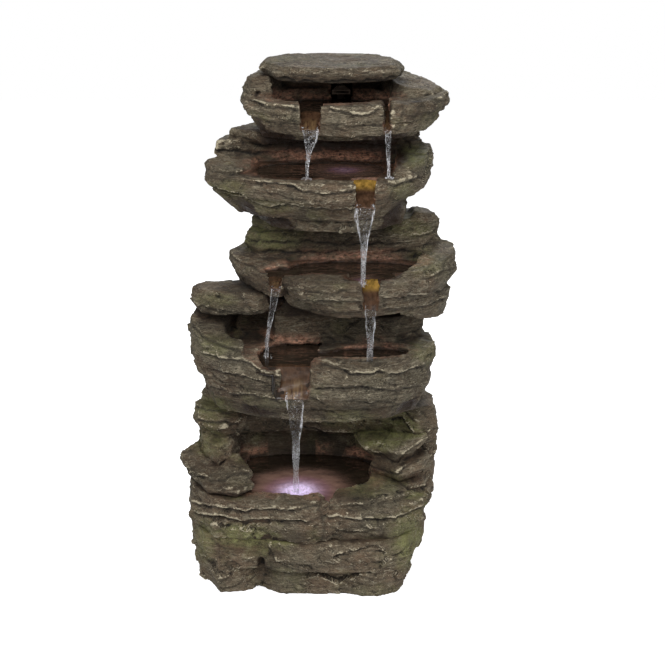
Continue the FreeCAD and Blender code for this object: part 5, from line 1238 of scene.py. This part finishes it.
class FOUNTAIN_OT_castings(bpy.types.Operator):
    """Weather the five castings and the reservoir"""
    bl_idname = "fountain.castings"
    bl_label = "Rock castings"

    def execute(self, context):
        # Each shade gives that rock a lighter or darker copy of the stone finish: painted light and shade
        weathered("tier_1_casting", 3, shade=1.18)
        weathered("tier_2_casting", 5, shade=1.08)
        weathered("tier_3_casting", 7)
        weathered("tier_4_casting", 11)
        weathered("pool_casting", 13, 0.2, 1.5, shade=1.12, leaves=0.35)
        weathered("reservoir_casting", 17, 0.15, 1.5, shade=1.3, leaves=0.25)
        return {"FINISHED"}


class FOUNTAIN_OT_loose_rocks(bpy.types.Operator):
    """Weather the cap stone, the two ledge rocks and the access door"""
    bl_idname = "fountain.loose_rocks"
    bl_label = "Cap, ledges and door"

    def execute(self, context):
        # Each shade gives that rock a lighter or darker copy of the stone finish: painted light and shade
        weathered("cap_stone", 19, 0.8, 0.9, shade=0.98)
        weathered("left_ledge_rock", 23, 0.4, 1.3, leaves=0.5)
        weathered("right_ledge_rock", 29, 0.4, 1.3, shade=1.35, leaves=0.5)
        weathered("access_door", 31, 0.3, 0.5, body="door")
        return {"FINISHED"}


class FOUNTAIN_OT_pools(bpy.types.Operator):
    """Fill the pools and lay water in the spillways"""
    bl_idname = "fountain.pools"
    bl_label = "Pools"

    def execute(self, context):
        for name, (level, ovals) in pools.items():
            pool_surface(name, level, ovals, lit_spots.get(name))
        for k, (name, spillway) in enumerate(spillways.items()):
            amber = 1.0 if name in amber_lips else 0.0
            spill_film("film_" + name, spillway, spill_faces[name], film_seed + k, amber)
        return {"FINISHED"}


class FOUNTAIN_OT_falls(bpy.types.Operator):
    """Let water fall from every spillway"""
    bl_idname = "fountain.falls"
    bl_label = "Falls"

    def execute(self, context):
        for k, (name, stations) in enumerate(falls.items()):
            stations = [[value / 1000 for value in station] for station in stations]
            stream("fall_" + name, stations, 1.0 if name in sparkling else 0.25, fall_seed + k)
            x, y, z = stations[-1][:3]
            splash("splash_" + name, x, y, z + splash_start, splash_seed + k)
        return {"FINISHED"}


class FOUNTAIN_OT_fittings(bpy.types.Operator):
    """Finish the pump, lights, riser, leads and door fittings"""
    bl_idname = "fountain.fittings"
    bl_label = "Fittings"

    def execute(self, context):
        looks = [(lens_finish(), ("light_lenses",))]
        for name, (tint, roughness, extra, nodes) in fitting_finishes.items():
            looks.append((plain_finish(name, tint, roughness, **extra), nodes))
        for look, nodes in looks:
            for node in nodes:
                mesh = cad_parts[node].data
                mesh.materials.clear()
                mesh.materials.append(look)
        return {"FINISHED"}


class FOUNTAIN_OT_stage(bpy.types.Operator):
    """Set the pale floor, soft lights and camera"""
    bl_idname = "fountain.stage"
    bl_label = "Stage"

    def execute(self, context):
        scene, stage = context.scene, context.scene.fountain_stage

        def stood(name, data, place=(0, 0, 0)):
            holder = bpy.data.objects.new(name, data)
            holder.location = place
            scene.collection.objects.link(holder)
            return holder

        bm = grid(2, 2, floor_size)
        bmesh.ops.translate(bm, vec=(0, 0, cad_low.z - floor_gap), verts=bm.verts)
        floor = stood("pale_floor", made_mesh("pale_floor", bm))
        floor.data.materials.append(floor_finish())
        scene.world = bpy.data.worlds.new("studio")
        scene.world.use_nodes = True
        sky = Nodes(scene.world.node_tree)
        sky.tree.nodes.clear()
        fill = sky.add("ShaderNodeBackground", {"Color": (0.96, 0.98, 1.0, 1.0), "Strength": stage.fill})
        white = sky.add("ShaderNodeBackground", {"Color": (1, 1, 1, 1)})
        blend = sky.add("ShaderNodeMixShader",
                        {0: sky.seen_through(), 1: fill.outputs[0], 2: white.outputs[0]})
        sky.add("ShaderNodeOutputWorld", {"Surface": blend.outputs[0]})
        for name, (place, size, power) in soft_lights.items():
            lamp = bpy.data.lights.new(name, "AREA")
            lamp.shape, lamp.size, lamp.energy = "DISK", size, power
            aim = lights_aim - Vector(place)
            stood(name, lamp, place).rotation_euler = aim.to_track_quat("-Z", "Y").to_euler()
        camera = bpy.data.cameras.new("front_view")
        camera.lens, camera.sensor_width = stage.focal_length, sensor_width
        camera.clip_start, camera.clip_end = 0.05, 50.0
        scene.camera = stood("front_view", camera, (sight_x, -stage.distance, stage.height))
        scene.camera.rotation_euler = (math.radians(90) - stage.pitch, 0, 0)
        scene.view_settings.view_transform = "Standard"
        return {"FINISHED"}


class FOUNTAIN_PT_panel(bpy.types.Panel):
    """Shows the fountain's settings and steps in the sidebar"""
    bl_label = "Rock Cascade Fountain"
    bl_idname = "FOUNTAIN_PT_panel"
    bl_space_type = "VIEW_3D"
    bl_region_type = "UI"
    bl_category = "Fountain"

    def draw(self, context):
        scene = context.scene
        for group in (scene.fountain_rock, scene.fountain_water, scene.fountain_stage):
            box = self.layout.box()
            for name in group.__annotations__:
                box.prop(group, name)
        for operator in operators:
            self.layout.operator(operator.bl_idname)


operators = (FOUNTAIN_OT_castings, FOUNTAIN_OT_loose_rocks, FOUNTAIN_OT_pools, FOUNTAIN_OT_falls,
             FOUNTAIN_OT_fittings, FOUNTAIN_OT_stage)
settings = {"fountain_rock": FountainRockSettings, "fountain_water": FountainWaterSettings,
            "fountain_stage": FountainStageSettings}


def register():
    for kind in (*settings.values(), *operators, FOUNTAIN_PT_panel):
        bpy.utils.register_class(kind)
    for name, kind in settings.items():
        setattr(bpy.types.Scene, name, PointerProperty(type=kind))


def unregister():
    for name in settings:
        delattr(bpy.types.Scene, name)
    for kind in (FOUNTAIN_PT_panel, *reversed(operators), *reversed(tuple(settings.values()))):
        bpy.utils.unregister_class(kind)


def main():
    register()
    for operator in operators:
        group, name = operator.bl_idname.split(".")
        getattr(getattr(bpy.ops, group), name)()


if __name__ == "__main__":
    main()
